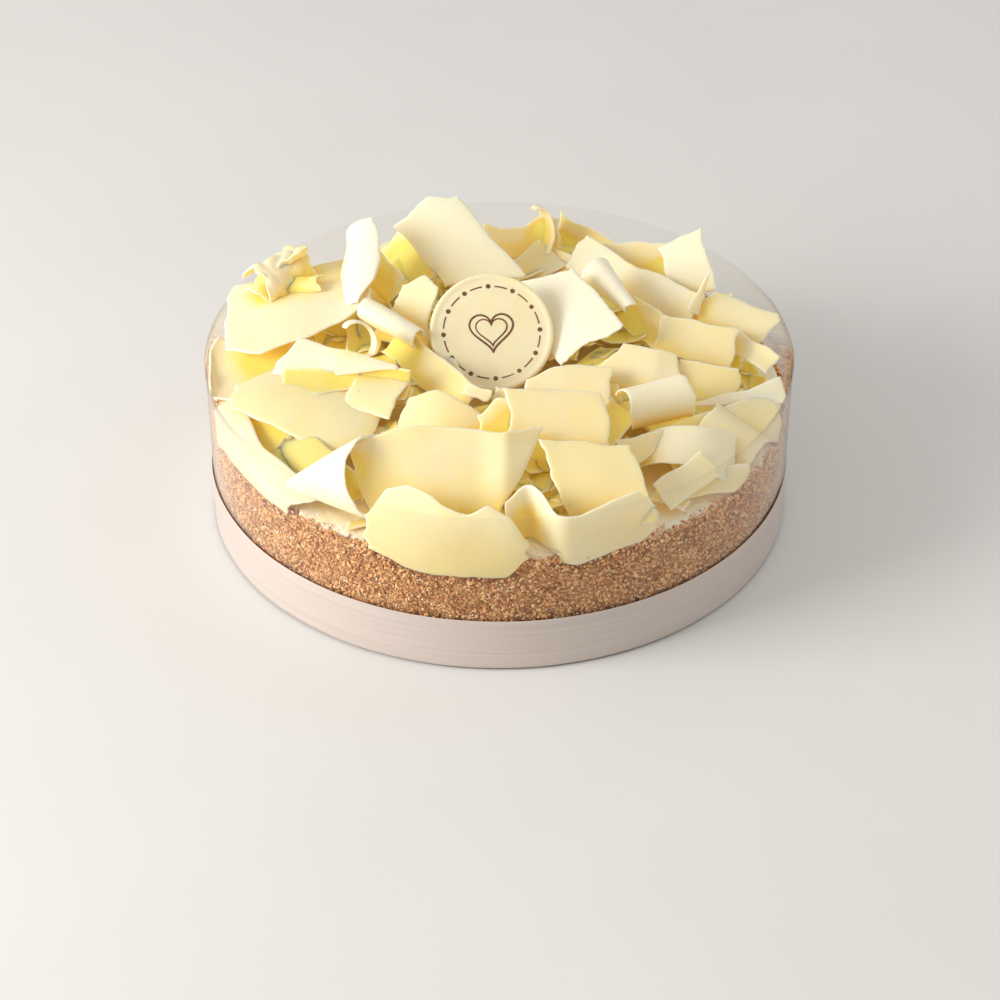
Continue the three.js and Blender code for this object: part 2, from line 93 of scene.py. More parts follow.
def new_piece(name, points, faces, material, stands_for=(), smooth=True, values=None):
    """A mesh object from points in millimetres and arrays of faces. values holds per-point arrays by name."""
    faces = [f for f in (faces if isinstance(faces, list) else [faces]) if len(f)]
    loops = np.concatenate([f.ravel() for f in faces])
    sizes = np.concatenate([np.full(len(f), f.shape[1]) for f in faces])
    mesh = bpy.data.meshes.new(name)
    mesh.vertices.add(len(points))
    mesh.vertices.foreach_set("co", (points * MM).astype(np.float32).ravel())
    mesh.loops.add(len(loops))
    mesh.loops.foreach_set("vertex_index", loops.astype(np.int32))
    mesh.polygons.add(len(sizes))
    mesh.polygons.foreach_set("loop_start", (np.cumsum(sizes) - sizes).astype(np.int32))
    mesh.polygons.foreach_set("use_smooth", np.full(len(sizes), smooth))
    for key, value in (values or {}).items():
        kind, field = ("FLOAT", "value") if value.ndim == 1 else ("FLOAT_VECTOR", "vector")
        mesh.attributes.new(key, kind, "POINT").data.foreach_set(field, value.astype(np.float32).ravel())
    mesh.update(calc_edges=True)
    mesh.validate()
    mesh.materials.append(material)
    piece = bpy.data.objects.new(name, mesh)
    scene.collection.objects.link(piece)
    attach(piece, "root")
    if stands_for:
        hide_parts(*stands_for)
    print(f"{name}: {int((sizes - 2).sum())} triangles")
    return piece


# %% [markdown]
# ## Unevenness
# Food is never regular. Two kinds of unevenness serve for everything here. The first is smooth, like a
# spread or a warp: plane waves in random directions, added up. The second is ragged, like a torn edge:
# random values joined by straight lines, at a few scales.

# %% Unevenness helpers
def waves(points, length, seed, count=12):
    """Cosines along random directions, each about one length long: their sum over sqrt(2 count)."""
    draw = np.random.default_rng(seed)
    direction = draw.normal(size=(points.shape[-1], count))
    direction /= np.linalg.norm(direction, axis=0)
    turns = draw.uniform(0.7, 1.4, count) / length
    phase = draw.uniform(0, 2 * np.pi, count)
    return np.cos(2 * np.pi * (points @ direction) * turns + phase).sum(-1) / np.sqrt(2 * count)


def ragged(place, length, seed, octaves=3):
    """Random values joined by straight lines, one for each length along place, with finer ones added."""
    draw = np.random.default_rng(seed)
    total = np.zeros_like(place)
    for octave in range(octaves):
        knots = place.min() + np.arange(int(np.ptp(place) / length * 2**octave) + 3) * length / 2**octave
        total += np.interp(place, knots, draw.uniform(-1, 1, len(knots))) / 1.7**octave
    return total


def radius_of(points):
    """Distance of each point from the cake's axis."""
    return np.hypot(points[..., 0], points[..., 1])


def round_points(radius, degrees, centre=(0, 0)):
    """Points of a circle at the given angles."""
    angle = np.radians(degrees)
    return np.array(centre) + radius * np.stack([np.cos(angle), np.sin(angle)], -1)


def smooth_step(x, low, high):
    """0 below low, 1 above high, and 3t^2 - 2t^3 between."""
    t = np.clip((x - low) / (high - low), 0, 1)
    return t * t * (3 - 2 * t)


# %% [markdown]
# ## Writing materials
# A material is a small network of nodes. One helper adds a node and fills its sockets, either with a value
# or with another node's output, so that a finish reads as a list of steps.

# %% Node helpers
def new_material(name):
    """An empty material and its node tree."""
    material = bpy.data.materials.new(name)
    material.use_nodes = True
    material.node_tree.nodes.clear()
    return material, material.node_tree


def node(tree, kind, sockets=None, **settings):
    """Adds a node. sockets maps an input's name or number to a value or to an output that feeds it."""
    made = tree.nodes.new("ShaderNode" + kind)
    for key, value in settings.items():
        setattr(made, key, value)
    for key, value in (sockets or {}).items():
        if isinstance(value, bpy.types.NodeSocket):
            tree.links.new(value, made.inputs[key])
        else:
            made.inputs[key].default_value = value
    return made


def place_of(tree):
    """The piece's own coordinates, in metres."""
    return node(tree, "TexCoord").outputs["Object"]


def value_of(tree, name, output="Fac"):
    """A value that numpy left on the mesh."""
    return node(tree, "Attribute", attribute_name=name).outputs[output]


def noise(tree, place, scale, detail=3.0, roughness=0.5):
    """Cloudy noise between 0 and 1; scale is in waves per metre."""
    sockets = {"Vector": place, "Scale": scale, "Detail": detail, "Roughness": roughness}
    return node(tree, "TexNoise", sockets).outputs["Fac"]


def stretched_noise(tree, place, scales, detail):
    """Noise drawn out along one axis: scales holds waves per unit for each axis."""
    return noise(tree, node(tree, "Mapping", {"Vector": place, "Scale": scales}).outputs[0], 1.0, detail)


def blend(tree, share, first, second):
    """A colour between two, by a share from 0 to 1."""
    mix = node(tree, "Mix", {0: share}, data_type="RGBA")
    for socket, colour in ((mix.inputs[6], first), (mix.inputs[7], second)):
        if isinstance(colour, bpy.types.NodeSocket):
            tree.links.new(colour, socket)
        else:
            socket.default_value = (*colour, 1)
    return mix.outputs[2]


def spread(tree, value, low, high, to_low=0.0, to_high=1.0):
    """Carries low..high onto another range and holds the ends."""
    sockets = {"Value": value, "From Min": low, "From Max": high, "To Min": to_low, "To Max": to_high}
    return node(tree, "MapRange", sockets).outputs[0]


def dents(tree, height, depth, under=None):
    """A bump of the given depth in metres, laid over another one."""
    sockets = {"Height": height, "Distance": depth, "Strength": 1.0}
    if under is not None:
        sockets["Normal"] = under
    return node(tree, "Bump", sockets).outputs["Normal"]


def finish_with(tree, **sockets):
    """A Principled shader as the surface. Socket names are written with _ for a space."""
    named = {key.replace("_", " "): value for key, value in sockets.items()}
    shader = node(tree, "BsdfPrincipled", named)
    node(tree, "OutputMaterial", {"Surface": shader.outputs[0]})


# %% [markdown]
# ## White chocolate
# White chocolate is cocoa butter and milk, so light goes a millimetre or two into it and comes out warmer.
# Where light bounces from one shaving to the next it turns golden, which is what fills the gaps in the heap.
# Subsurface scattering gives the first. The second is painted: a base colour with little blue turns amber and
# then gold the deeper a point lies in the heap, as painted golden shade for the bounced light. The knife
# leaves faint lines along a shaving, and its torn rim is painted paler than its face, a painted highlight of
# the light that shines through the thin edge. So numpy leaves four values on each mesh: the lie of the sheet
# in millimetres, the nearness of the rim, how much whiter the whole sheet is, which is partly the chocolate's
# own uneven tone and partly painted light on sheets that face the lamp, and how deep in the heap each point
# lies.

# %% White chocolate material
CREAMY = (0.98, 0.825, 0.56)
BUTTERY = (0.97, 0.775, 0.43)
MILK_AND_LIGHT_WHITE = (0.99, 0.905, 0.75)
RIM_HIGHLIGHT = (0.98, 0.91, 0.75)
# The next two colours are painted golden shade, for the bounced light deep in the heap's gaps.
PAINTED_AMBER_SHADE = (1.0, 0.72, 0.17)  # a little over halfway down a gap
PAINTED_GOLD_SHADE = (1.0, 0.82, 0.20)  # at the bottom of a gap, where light has bounced most
PAINTED_AMBER_SHARE = 0.6


def white_chocolate(name):
    """Creamy, slightly translucent, knife lines along it, a painted rim highlight, painted gap shade."""
    material, tree = new_material(name)
    place = place_of(tree)
    lie = value_of(tree, "lie", "Vector")
    lines = stretched_noise(tree, lie, (0.02, 1.6, 1), 4.0)
    cloud = noise(tree, place, 55.0)
    body = blend(tree, spread(tree, cloud, 0.3, 0.7), BUTTERY, CREAMY)
    # Whiter on some sheets: partly the chocolate's own tone, partly painted light on sheets that face the
    # lamp.
    body = blend(tree, value_of(tree, "milky_and_lit"), body, MILK_AND_LIGHT_WHITE)
    # Painted shade: the deeper a point lies in the heap, the more amber and then gold, for the bounced light.
    depth = value_of(tree, "depth")
    deep = blend(tree, spread(tree, depth, 0.0, PAINTED_AMBER_SHARE), body, PAINTED_AMBER_SHADE)
    deep = blend(tree, spread(tree, depth, PAINTED_AMBER_SHARE, 1.0), deep, PAINTED_GOLD_SHADE)
    # Painted highlight: paler towards the rim, for light shining through the thin edge.
    rim_highlighted = blend(tree, spread(tree, value_of(tree, "rim"), 0.0, 1.0, 0.0, 0.7), deep, RIM_HIGHLIGHT)
    grain = noise(tree, place, 2600.0, 2.0)
    bump = dents(tree, lines, 0.00005, dents(tree, grain, 0.000012))
    finish_with(
        tree,
        Base_Color=rim_highlighted,
        Roughness=spread(tree, lines, 0.3, 0.7, 0.36, 0.5),
        Normal=bump,
        IOR=1.46,
        Subsurface_Weight=0.75,
        Subsurface_Radius=(1.0, 0.75, 0.22),
        Subsurface_Scale=0.0017,
    )
    return material


CHOCOLATE = white_chocolate("white_chocolate")

# %% [markdown]
# ## The shape of a shaving
# A knife drawn over a block of chocolate lifts a flat sheet that bends as it leaves the blade. So a shaving
# is made in that order: a flat outline, ragged where it tore, then a bend across its width, a bend along its
# length, and last its place in the heap. The table gives the same numbers as the solid model, so each sheet
# lies where its solid is. A few more numbers, which the solids don't need, say how torn and crumpled a sheet
# is, how much whiter it is, partly its own paler chocolate and partly painted light where it faces the lamp,
# and how much painted golden shade it takes.

# %% The table of shavings
# at: middle of the sheet. aim: heading in plan, rise, and roll about its length. size: length and width.
# ends: width at start and end as a share. slant: skew of the outline. start, end: how far places along the
# two ends move towards the end, from right to left. right, left: how far places along the two sides move to
# the left, from start to end. arc: bend across. bow: bend along. tip, tail: further bend towards the end and
# the start. folds: (where, width, angle) along the length. torn, crumple: raggedness of the outline and of
# the face. milky_and_lit: share of whiter colour, partly paler chocolate and partly painted light where the
# sheet faces the lamp. golden: painted golden shade added to that of the heap's depth.
SHAVINGS = {
    "back_tall": dict(at=(-15.5, 45, 73), aim=(139, 32, -37), size=(34, 24), start=(-7, 7),
        end=(-3, 2, 3, 2), arc=-25, milky_and_lit=0.7),
    "left_wide": dict(at=(-70, 15, 66), aim=(6, 8, 6), size=(52, 42), right=(7, 1, 3, 8, 15),
        left=(0, 0, 0, 3, 6), start=(0, 3), arc=-15, bow=-15, tip=25, milky_and_lit=0.25),
    "left_flap": dict(at=(-49, 28, 76.5), aim=(88, 22, -34), size=(36, 15), right=(5, 1, -1, -1, 3),
        left=(9, 6, 3, 0, 0), arc=-60, milky_and_lit=0.8),
    "left_crumple": dict(at=(-74.5, 29, 74), aim=(42, 2, 22), size=(20, 27), ends=(1, 1.1), arc=-200,
        crumple=1.2, torn=2.5),
    "small_lip": dict(at=(-42.5, 34, 66.5), aim=(-60, -2, 60), size=(22, 14), arc=-110, golden=0.15),
    "tan_back": dict(at=(-32, 51, 63), aim=(-62, -9, 45), size=(28, 15), arc=20),
    "by_plaque": dict(at=(-30, 12, 67), aim=(-20, 0, 48), size=(15, 26), start=(-4, 3), left=(-5, 0, -4),
        arc=-40, milky_and_lit=0.3),
    "roll_left": dict(at=(-37.5, 0.5, 70.5), aim=(-40, -6, 30), size=(25, 17), arc=-290, milky_and_lit=0.6),
    "hook_left": dict(at=(-43.5, -11.5, 74), aim=(-10, -50, -36), size=(20, 7), bow=-150, tail=-40,
        milky_and_lit=0.8),
    "point_left": dict(at=(-53, -20, 66.5), aim=(-14, 2, 34), size=(40, 15), ends=(1, 0.1), start=(-3, 4),
        right=(0, -4, -2, 0), arc=-40, bow=-10, milky_and_lit=0.5),
    "under_point": dict(at=(-59, -25, 61), aim=(-4, 0, 30), size=(26, 9), right=(3, -1, 3), arc=60,
        golden=0.5),
    "left_cup": dict(at=(-87, -6, 51), aim=(-10, 5, 15), size=(30, 28), arc=60, tail=60, milky_and_lit=0.35),
    "cone": dict(at=(-58, -73, 57), aim=(-29, 29, 50), size=(25, 46), ends=(0.12, 1), arc=-190, left=(0, 5),
        end=(0, 0, 4), milky_and_lit=0.8),
    "left_front": dict(at=(-64, -35, 58.5), aim=(-12, -3, 14), size=(50, 27), left=(-8, 5, 4, 2, 0),
        right=(9, 5, 1, -3, 1), arc=-30, bow=-15, golden=0.1),
    "left_rim": dict(at=(-80.5, -51, 51.5), aim=(-56, -4, 32), size=(50, 32), arc=-120, bow=-20,
        start=(-5, -4, -3), left=(-5, -9, -12, -11, -7), right=(0, 4, 5, 5, 7), end=(1, 4, 8), milky_and_lit=0.4),
    "front_centre": dict(at=(-18, -77, 57), aim=(-3, 0, 42), size=(66, 31), ends=(0.85, 1),
        start=(13, 6, 3), end=(-17, -8, 1), left=(0, 6, 4, 3, 6), arc=-15, bow=-6,
        folds=((0.35, 0.2, 14), (0.6, 0.15, -38)), golden=0.07),
    "front_arch": dict(at=(-17, -95.5, 49), aim=(-9.5, 0, 72), size=(52, 26), arc=-25, bow=-30,
        left=(-8, 1, 2, 0.5, -2.5, -4, -1.5, -4.5, -12), right=(6, 4, 2, 1, 0, -1, -1, 0, 8)),
    "front_right": dict(at=(27, -93, 50), aim=(17, 0, 80), size=(50, 18), start=(-6, -4),
        left=(1, 3, 2, -2, -2, -1, 0, 1, -6), right=(-2, -3, -3, -1, -1, 0, 0, 0, 4), bow=-32,
        folds=((-0.85, 0.3, 95), (-0.3, 0.35, -57)), milky_and_lit=0.3),
    "right_mid_front": dict(at=(31.5, -77, 58.5), aim=(-2, -4, 38), size=(29, 26), slant=-11, arc=-40,
        golden=0.14),
    "centre_mid": dict(at=(19, -55, 65), aim=(-2, -3, 38), size=(32, 24), slant=-4, arc=-40, golden=0.1),
    "centre_small": dict(at=(-1, -49, 62), aim=(-8, 0, 60), size=(11, 15), left=(-6, 0, 0), golden=0.1),
    "centre_dome": dict(at=(-18, -46, 61), aim=(-14, 0, 38), size=(30, 20), ends=(1, 0.8),
        left=(-3, 1, -2, -6), arc=-50, bow=-50, golden=0.14),
    "strip_long": dict(at=(-23, -16, 59.5), aim=(-51, -6, 38), size=(42, 12), right=(0, 1, 0, -1, 0),
        golden=0.2),
    "tube_mid": dict(at=(-38, -26, 61), aim=(-12, -4, 35), size=(17, 13), arc=120, golden=0.6),
    "sheet_mid": dict(at=(-41, -31, 61), aim=(-24, 0, 20), size=(17, 16), arc=-30, golden=0.12),
    "under_plaque": dict(at=(-19.5, -11, 58), aim=(-60, -10, 30), size=(16, 10)),
    "chip_a": dict(at=(-7, -31, 61), aim=(-30, 0, 40), size=(10, 4)),
    "chip_b": dict(at=(3, -32, 59), aim=(-15, 0, 40), size=(10, 7)),
    "right_plaque": dict(at=(24, 6.6, 67), aim=(-60, -11, 30), size=(32, 25), start=(-12, 0), end=(-3, 0),
        arc=-20, milky_and_lit=0.8),
    "right_low": dict(at=(23, -24, 60), aim=(-8, -1, 30), size=(28, 16), left=(-8, -2, 0, 0), arc=-30),
    "back_mid": dict(at=(8, 66, 64), aim=(-2, 0, 50), size=(28, 14), left=(-2, -4, -3, 1, 0),
        right=(7, 3, -2, -1, 3), arc=20, bow=20),
    "back_hook": dict(at=(17, 68, 69.5), aim=(90, 80, -60), size=(20, 14), ends=(1.3, 0.2), bow=100,
        tip=90),
    "back_tan": dict(at=(32, 70, 61.5), aim=(-25, -5, 60), size=(24, 9), ends=(1.4, 0.3), arc=20,
        golden=0.2),
    "back_long": dict(at=(47, 37, 62), aim=(-38, -3, 36), size=(54, 19), left=(0, -1, -3, -3, -2),
        right=(5, 0, -3, -4, 4), arc=-25, milky_and_lit=0.4),
    "white_roll": dict(at=(38, 22, 71), aim=(-61, -7, 30), size=(27, 13), ends=(1.3, 0.5), arc=-170,
        milky_and_lit=0.8),
    "back_yellow": dict(at=(50, 53, 60.5), aim=(-4, 2, 40), size=(26, 16), arc=30),
    "back_peak": dict(at=(66, 42, 67.5), aim=(0, 18, 38), size=(16, 24), left=(-3, 0), arc=-30, milky_and_lit=0.6),
    "spike": dict(at=(70, 24, 66), aim=(60, 40, 40), size=(16, 4), ends=(1.2, 0.1)),
    "right_film": dict(at=(82.5, 17.5, 59.5), aim=(-27, -7, 35), size=(27, 15), start=(-4, 2), end=(-3, 1),
        arc=-50),
    "right_square": dict(at=(67.3, 3.8, 59), aim=(-16, -4, 40), size=(27, 14.5), arc=-15, golden=0.08),
    "right_strip": dict(at=(86, 3, 55.5), aim=(-40, -10, 30), size=(20, 8), arc=30),
    "right_blade": dict(at=(79, -26, 55.5), aim=(16, 0, 40), size=(34, 6), ends=(0.1, 1.4), milky_and_lit=0.6),
    "right_yellow": dict(at=(70, -38.5, 52), aim=(24, -4, 40), size=(52, 12), ends=(0.3, 1.5), arc=-20),
    "right_tube": dict(at=(52.5, -36, 64), aim=(20, 2, 30), size=(22, 24), arc=-200, milky_and_lit=0.5),
    "right_upper": dict(at=(48, -15.5, 60), aim=(-18, 0, 30), size=(26, 18), start=(-5, 4), end=(4, -3),
        arc=-30, folds=((0.3, 0.3, -14),)),
    "right_inner": dict(at=(70, -17, 55.5), aim=(-6, -8, 30), size=(21, 14), arc=20, golden=0.2),
    "right_arch": dict(at=(60, -54, 56), aim=(-8, 0, 25), size=(38, 15), ends=(0.8, 1.2), bow=-115,
        milky_and_lit=0.3),
    "right_back_arch": dict(at=(76, -43, 52), aim=(-32, -20, 20), size=(21, 21), arc=-100),
    "right_leaf": dict(at=(49, -52, 55.5), aim=(36, 4, 40), size=(22, 8), ends=(1.4, 0.2)),
    "right_lower": dict(at=(60, -66.5, 51), aim=(37, 12, 35), size=(21, 10), arc=-20),
    "right_rim": dict(at=(67, -64, 46.5), aim=(26, 0, 40), size=(34, 7), ends=(0.4, 1.2)),
    "mid_tan": dict(at=(50, 14, 60.5), aim=(-45, -8, 38), size=(21, 12), golden=0.2),
    "back_low": dict(at=(19, 59, 55), aim=(-8, -4, 24), size=(38, 22), arc=-20),
}
# What holds where a row says nothing.
PLAIN = dict(
    ends=(1, 1), start=(0,), end=(0,), left=(0,), right=(0,), slant=0, arc=0, bow=0, tip=0, tail=0, folds=(),
    torn=1, crumple=0, milky_and_lit=0, golden=0,
)

# %% [markdown]
# The bend itself is one idea used twice. A bent line is known by its slope at each place: adding up short
# steps along that slope gives its points. Across the width the slope grows evenly, which is an arc. Along the
# length it may also curl at the ends or turn at a fold.

# %% Bent sheets
CAKE_RADIUS = 99.2
CAKE_HEIGHT = 42
FILM_INSIDE = 99.5  # just inside the film
SHEET_THICKNESS = 0.9
RIM_THICKNESS = 0.35
RIM_REACH = 1.3  # how far in from its edge a sheet thins


def bent_line(s, slope, half):
    """Where s lies on a line through the origin with slope slope(s), which runs straight on past its ends.

    x and y are the running sums of the cosine and the sine of the slope, times the step.
    """
    knots = np.linspace(-1, 1, 121)
    angle = slope(knots) - slope(np.zeros(1))
    middle = (angle[1:] + angle[:-1]) / 2
    step = half * (knots[1] - knots[0])
    x = np.concatenate([[0], np.cumsum(np.cos(middle))]) * step
    y = np.concatenate([[0], np.cumsum(np.sin(middle))]) * step
    home = len(knots) // 2
    over = (s - np.clip(s, -1, 1)) * half
    here = np.interp(s, knots, angle)
    x_here = np.interp(s, knots, x - x[home]) + over * np.cos(here)
    return x_here, np.interp(s, knots, y - y[home]) + over * np.sin(here), here


def edge_moves(s, moves):
    """How far an edge moves at s, in millimetres: values evenly spaced along it, joined by softened lines."""
    place = (np.clip(s, -1, 1) + 1) / 2 * (len(moves) - 1)
    first = np.minimum(place.astype(int), max(len(moves) - 2, 0))
    share = smooth_step(place - first, 0, 1) * 0.5 + (place - first) * 0.5
    padded = np.array([*moves, moves[-1]], float)
    return padded[first] * (1 - share) + padded[first + 1] * share


def sheet_surface(row, u, v):
    """The middle surface of a shaving at u along and v across, from -1 to 1, as points in millimetres."""
    long, wide = row["size"]
    first, last = row["ends"]
    turn, rise, roll = np.radians(row["aim"])

    def across(s):
        return np.radians(row["arc"] / 2 * s)

    def along(s):
        angle = row["bow"] / 2 * s + row["tip"] * np.maximum(0, s) ** 3 - row["tail"] * np.maximum(0, -s) ** 3
        for where, width, fold in row["folds"]:
            angle = angle + fold * smooth_step(s, where - width / 2, where + width / 2)
        return np.radians(angle)

    share = first + (last - first) * (u + 1) / 2
    du = edge_moves(v, row["start"]) * (1 - u) + edge_moves(v, row["end"]) * (1 + u)
    dv = edge_moves(u, row["right"]) * (1 - v) + edge_moves(u, row["left"]) * (1 + v)
    u, v = u + du / long, v + dv / wide
    side, up, _ = bent_line(v, across, wide / 2)
    x, z, angle = bent_line(u + row["slant"] * v / long, along, long / 2)
    side, up = side * share, up * share
    x, z = x - up * np.sin(angle), z + up * np.cos(angle)
    heading = np.array([np.cos(turn) * np.cos(rise), np.sin(turn) * np.cos(rise), np.sin(rise)])
    level = np.array([-np.sin(turn), np.cos(turn), 0])
    out = np.cross(heading, level)
    left = np.cos(roll) * level + np.sin(roll) * out
    face = np.cross(heading, left)
    return np.array(row["at"]) + x[..., None] * heading + side[..., None] * left + z[..., None] * face


# %% [markdown]
# A real shaving is not a perfect rectangle. Its outline is pushed in and out by ragged values that fade
# towards the middle, its face is a little wavy, and it is thinner at the rim. Two rules then fit it to the
# cake, as on the real one: a sheet that would pass through the film leans against it, and one that would
# sink into the cream lies on it. Sheets that meet each other are not cut, and pass through each other.

# %% Ragged outline and fit
END_SWAY = 0.035  # slow sway of an end, as a share of the width
SIDE_SWAY = 0.02
END_JAGS = 0.35  # millimetres of ragged tearing at an end
SIDE_JAGS = 0.16
CLIMB_BEGINS = 6  # how far in from the side a sheet begins and ends to climb on to the crumbs
CLIMB_ENDS = 3
OVERHANG = 2.6  # nearer the side than this, a sheet may hang down past the crumbs
FILM_GAP = 0.55
CREAM_GAP = 0.6


def crowded(count):
    """Values from -1 to 1 that lie closer together near both ends, so that a thin rim gets enough rows."""
    even = np.linspace(-1, 1, count)
    return 0.55 * even + 0.45 * np.sin(np.pi / 2 * even)


def torn_outline(row, u, v, seed):
    """Moves u and v near the four edges by ragged amounts: torn ends more than cut sides."""
    long, wide = row["size"]
    u_out, v_out = np.copy(u), np.copy(v)
    for k, sign in enumerate((1, -1)):
        end = np.clip((1 + sign * u) / 2, 0, 1)
        side = np.clip((1 + sign * v) / 2, 0, 1)
        end_place, side_place = v * wide / 2, u * long / 2
        end_sway = END_SWAY * wide * waves(end_place[..., None], wide * 0.8, seed + k, 4)
        side_sway = SIDE_SWAY * long * waves(side_place[..., None], long * 0.7, seed + 2 + k, 4)
        end_jags = END_JAGS * ragged(end_place, 2.6, seed + 4 + k)
        side_jags = SIDE_JAGS * ragged(side_place, 3.2, seed + 6 + k)
        u_out += sign * (end_sway * end**2 + row["torn"] * end_jags * end**8) / (long / 2)
        v_out += sign * (side_sway * side**2 + row["torn"] * side_jags * side**8) / (wide / 2)
    return u_out, v_out


def floor_of(radius):
    """Height of what a shaving can lie on: the cream, and outside it the crumb rim."""
    climb = smooth_step(radius, CAKE_RADIUS - CLIMB_BEGINS, CAKE_RADIUS - CLIMB_ENDS)
    return CAKE_HEIGHT + CREAM_GAP + climb


def lean_on_cake(points):
    """Keeps points inside the film, and above the cream where they are not hanging past the crumbs."""
    radius = radius_of(points)
    inside = FILM_INSIDE - FILM_GAP - 0.5 * np.exp(-np.maximum(FILM_INSIDE - radius, 0) / 0.8)
    scale = np.minimum(1, inside / np.maximum(radius, 1e-6))
    points = points * np.stack([scale, scale, np.ones_like(scale)], -1)
    low = np.where(radius < CAKE_RADIUS - OVERHANG, floor_of(radius), 0)
    return np.concatenate([points[..., :2], np.maximum(points[..., 2:], low[..., None])], -1)


# %% [markdown]
# In the photograph the gaps between the shavings glow golden and the open faces are pale. Here that glow is
# painted golden shade: the tint follows how much of the sky the heap hides from a point. It is worked out
# here from a map of the heap's height seen from above, in cells of 3 mm: round each point the map gives the
# horizon in ten directions.

# %% Depth in the heap, for the painted golden shade
HEAP_CELL = 3
HEAP_REACH = 120
HORIZON_REACHES = (3.5, 7, 12, 19)
OWN_RISE = 2.5  # taken off, so that a sheet doesn't hide the sky from itself
OPEN_SHARE = 0.15  # hidden share that still counts as open
DEEP_SHARE = 0.63  # hidden share that counts as deep
EDGE_OF_HEAP = (84, 96)  # radii over which the tint fades


def heap_heights(points):
    """The highest point of the heap in each cell of a square grid seen from above."""
    count = 2 * HEAP_REACH // HEAP_CELL
    cells = ((points[:, :2] + HEAP_REACH) / HEAP_CELL).astype(int)
    heights = np.zeros((count, count))
    np.maximum.at(heights, (cells[:, 0], cells[:, 1]), points[:, 2])
    return heights


def height_at(heights, places):
    """The height of the heap at places in plan, mixed from the four nearest cells."""
    spots = np.clip((places + HEAP_REACH) / HEAP_CELL - 0.5, 0, len(heights) - 1.001)
    i, j = spots.astype(int).T
    a, b = (spots - spots.astype(int)).T
    near = heights[i, j] * (1 - b) + heights[i, j + 1] * b
    far = heights[i + 1, j] * (1 - b) + heights[i + 1, j + 1] * b
    return near * (1 - a) + far * a


def painted_shade_share(points, heights):
    """How much of the sky the heap hides from each point: 0 in the open and 1 deep in a gap.

    In each of 10 directions the horizon is the steepest line up to the heap; its sine is averaged over them.
    """
    hidden = np.zeros(len(points))
    for azimuth in np.arange(10) * np.pi / 5:
        horizon = np.zeros(len(points))
        for reach in HORIZON_REACHES:
            ahead = points[:, :2] + reach * np.array([np.cos(azimuth), np.sin(azimuth)])
            climb = height_at(heights, ahead) - points[:, 2] - OWN_RISE
            horizon = np.maximum(horizon, climb / np.hypot(climb, reach))
        hidden += horizon / 10
    radius = radius_of(points)
    share = np.clip((hidden - OPEN_SHARE) / (DEEP_SHARE - OPEN_SHARE), 0, 1)
    return share * (1 - 0.8 * smooth_step(radius, *EDGE_OF_HEAP))


# %% [markdown]
# A sheet becomes a closed body by giving its middle surface two faces, half a thickness to either side, and
# joining them round the outline. It thins towards the outline, as a shaving does where the blade left it.

# %% A closed sheet
WARP = 0.3  # slow waviness of every sheet's face
WARP_LENGTH = 28
CRUMPLE_LENGTH = 9
# The rim is painted paler over this reach, as a painted highlight.
RIM_HIGHLIGHT_REACH = 0.9  # how far in from its edge a sheet is paler


def sheet_mesh(row, seed, spacing=0.75):
    """Points, faces and values of one closed shaving.

    The middle surface is offset both ways along its normal by half the thickness, and a strip of faces
    joins the two along the outline.
    """
    row = {**PLAIN, **row}
    long, wide = row["size"]
    rows = int(np.clip(long / spacing, 9, 90))
    columns = int(np.clip(wide * max(row["ends"]) / spacing, 7, 60))
    flat_u, flat_v = np.meshgrid(crowded(rows), crowded(columns), indexing="ij")
    u, v = torn_outline(row, flat_u, flat_v, seed)
    middle = sheet_surface(row, u, v)
    lie = np.stack([u * long / 2, v * wide / 2, np.full_like(u, seed % 97)], -1)
    normal = grid_normal(middle)
    warp = WARP * waves(lie[..., :2], WARP_LENGTH, seed)
    crumple = row["crumple"] * np.abs(waves(lie[..., :2], CRUMPLE_LENGTH, seed + 2))
    middle = lean_on_cake(middle + (warp + crumple)[..., None] * normal)
    normal = grid_normal(middle)
    inset = np.minimum((1 - np.abs(flat_u)) * long / 2, (1 - np.abs(flat_v)) * wide / 2)
    body = smooth_step(inset, 0, RIM_REACH)
    half = (RIM_THICKNESS + (SHEET_THICKNESS - RIM_THICKNESS) * np.sqrt(body)) / 2
    top, bottom = middle + half[..., None] * normal, middle - half[..., None] * normal
    count = rows * columns
    faces = np.concatenate([
        grid_faces(rows, columns, flip=True),
        grid_faces(rows, columns, first=count),
        border_faces(rows, columns),
    ])
    points = np.concatenate([top.reshape(-1, 3), bottom.reshape(-1, 3)])
    # rim sets the painted highlight at the edge, the milky share is partly painted light, golden is painted
    # shade.
    values = {
        "lie": np.tile(lie.reshape(-1, 3), (2, 1)),
        "rim": np.tile(1 - smooth_step(inset, 0, RIM_HIGHLIGHT_REACH).ravel(), 2),
        "milky_and_lit": np.full(2 * count, row["milky_and_lit"]),
        "golden": np.full(2 * count, row["golden"]),
    }
    return points, faces, values


def grid_normal(points):
    """Unit normals of a grid of points: the cross product of the steps along its rows and its columns."""
    normal = np.cross(np.gradient(points, axis=0), np.gradient(points, axis=1))
    return normal / np.maximum(np.linalg.norm(normal, axis=-1, keepdims=True), 1e-9)


def border_faces(rows, columns):
    """Quads that join the outline of the upper grid to that of the lower one, going once round."""
    index = np.arange(rows * columns).reshape(rows, columns)
    ring = np.concatenate([index[0, :-1], index[:-1, -1], index[-1, :0:-1], index[:0:-1, 0]])
    ahead = np.roll(ring, -1)
    return np.stack([ring, ahead, ahead + rows * columns, ring + rows * columns], -1)


# %% [markdown]
# Each row of the table becomes one sheet. In the photograph the crumpled one at the left is a ball of
# scraps, so three torn scraps are added to its mesh.

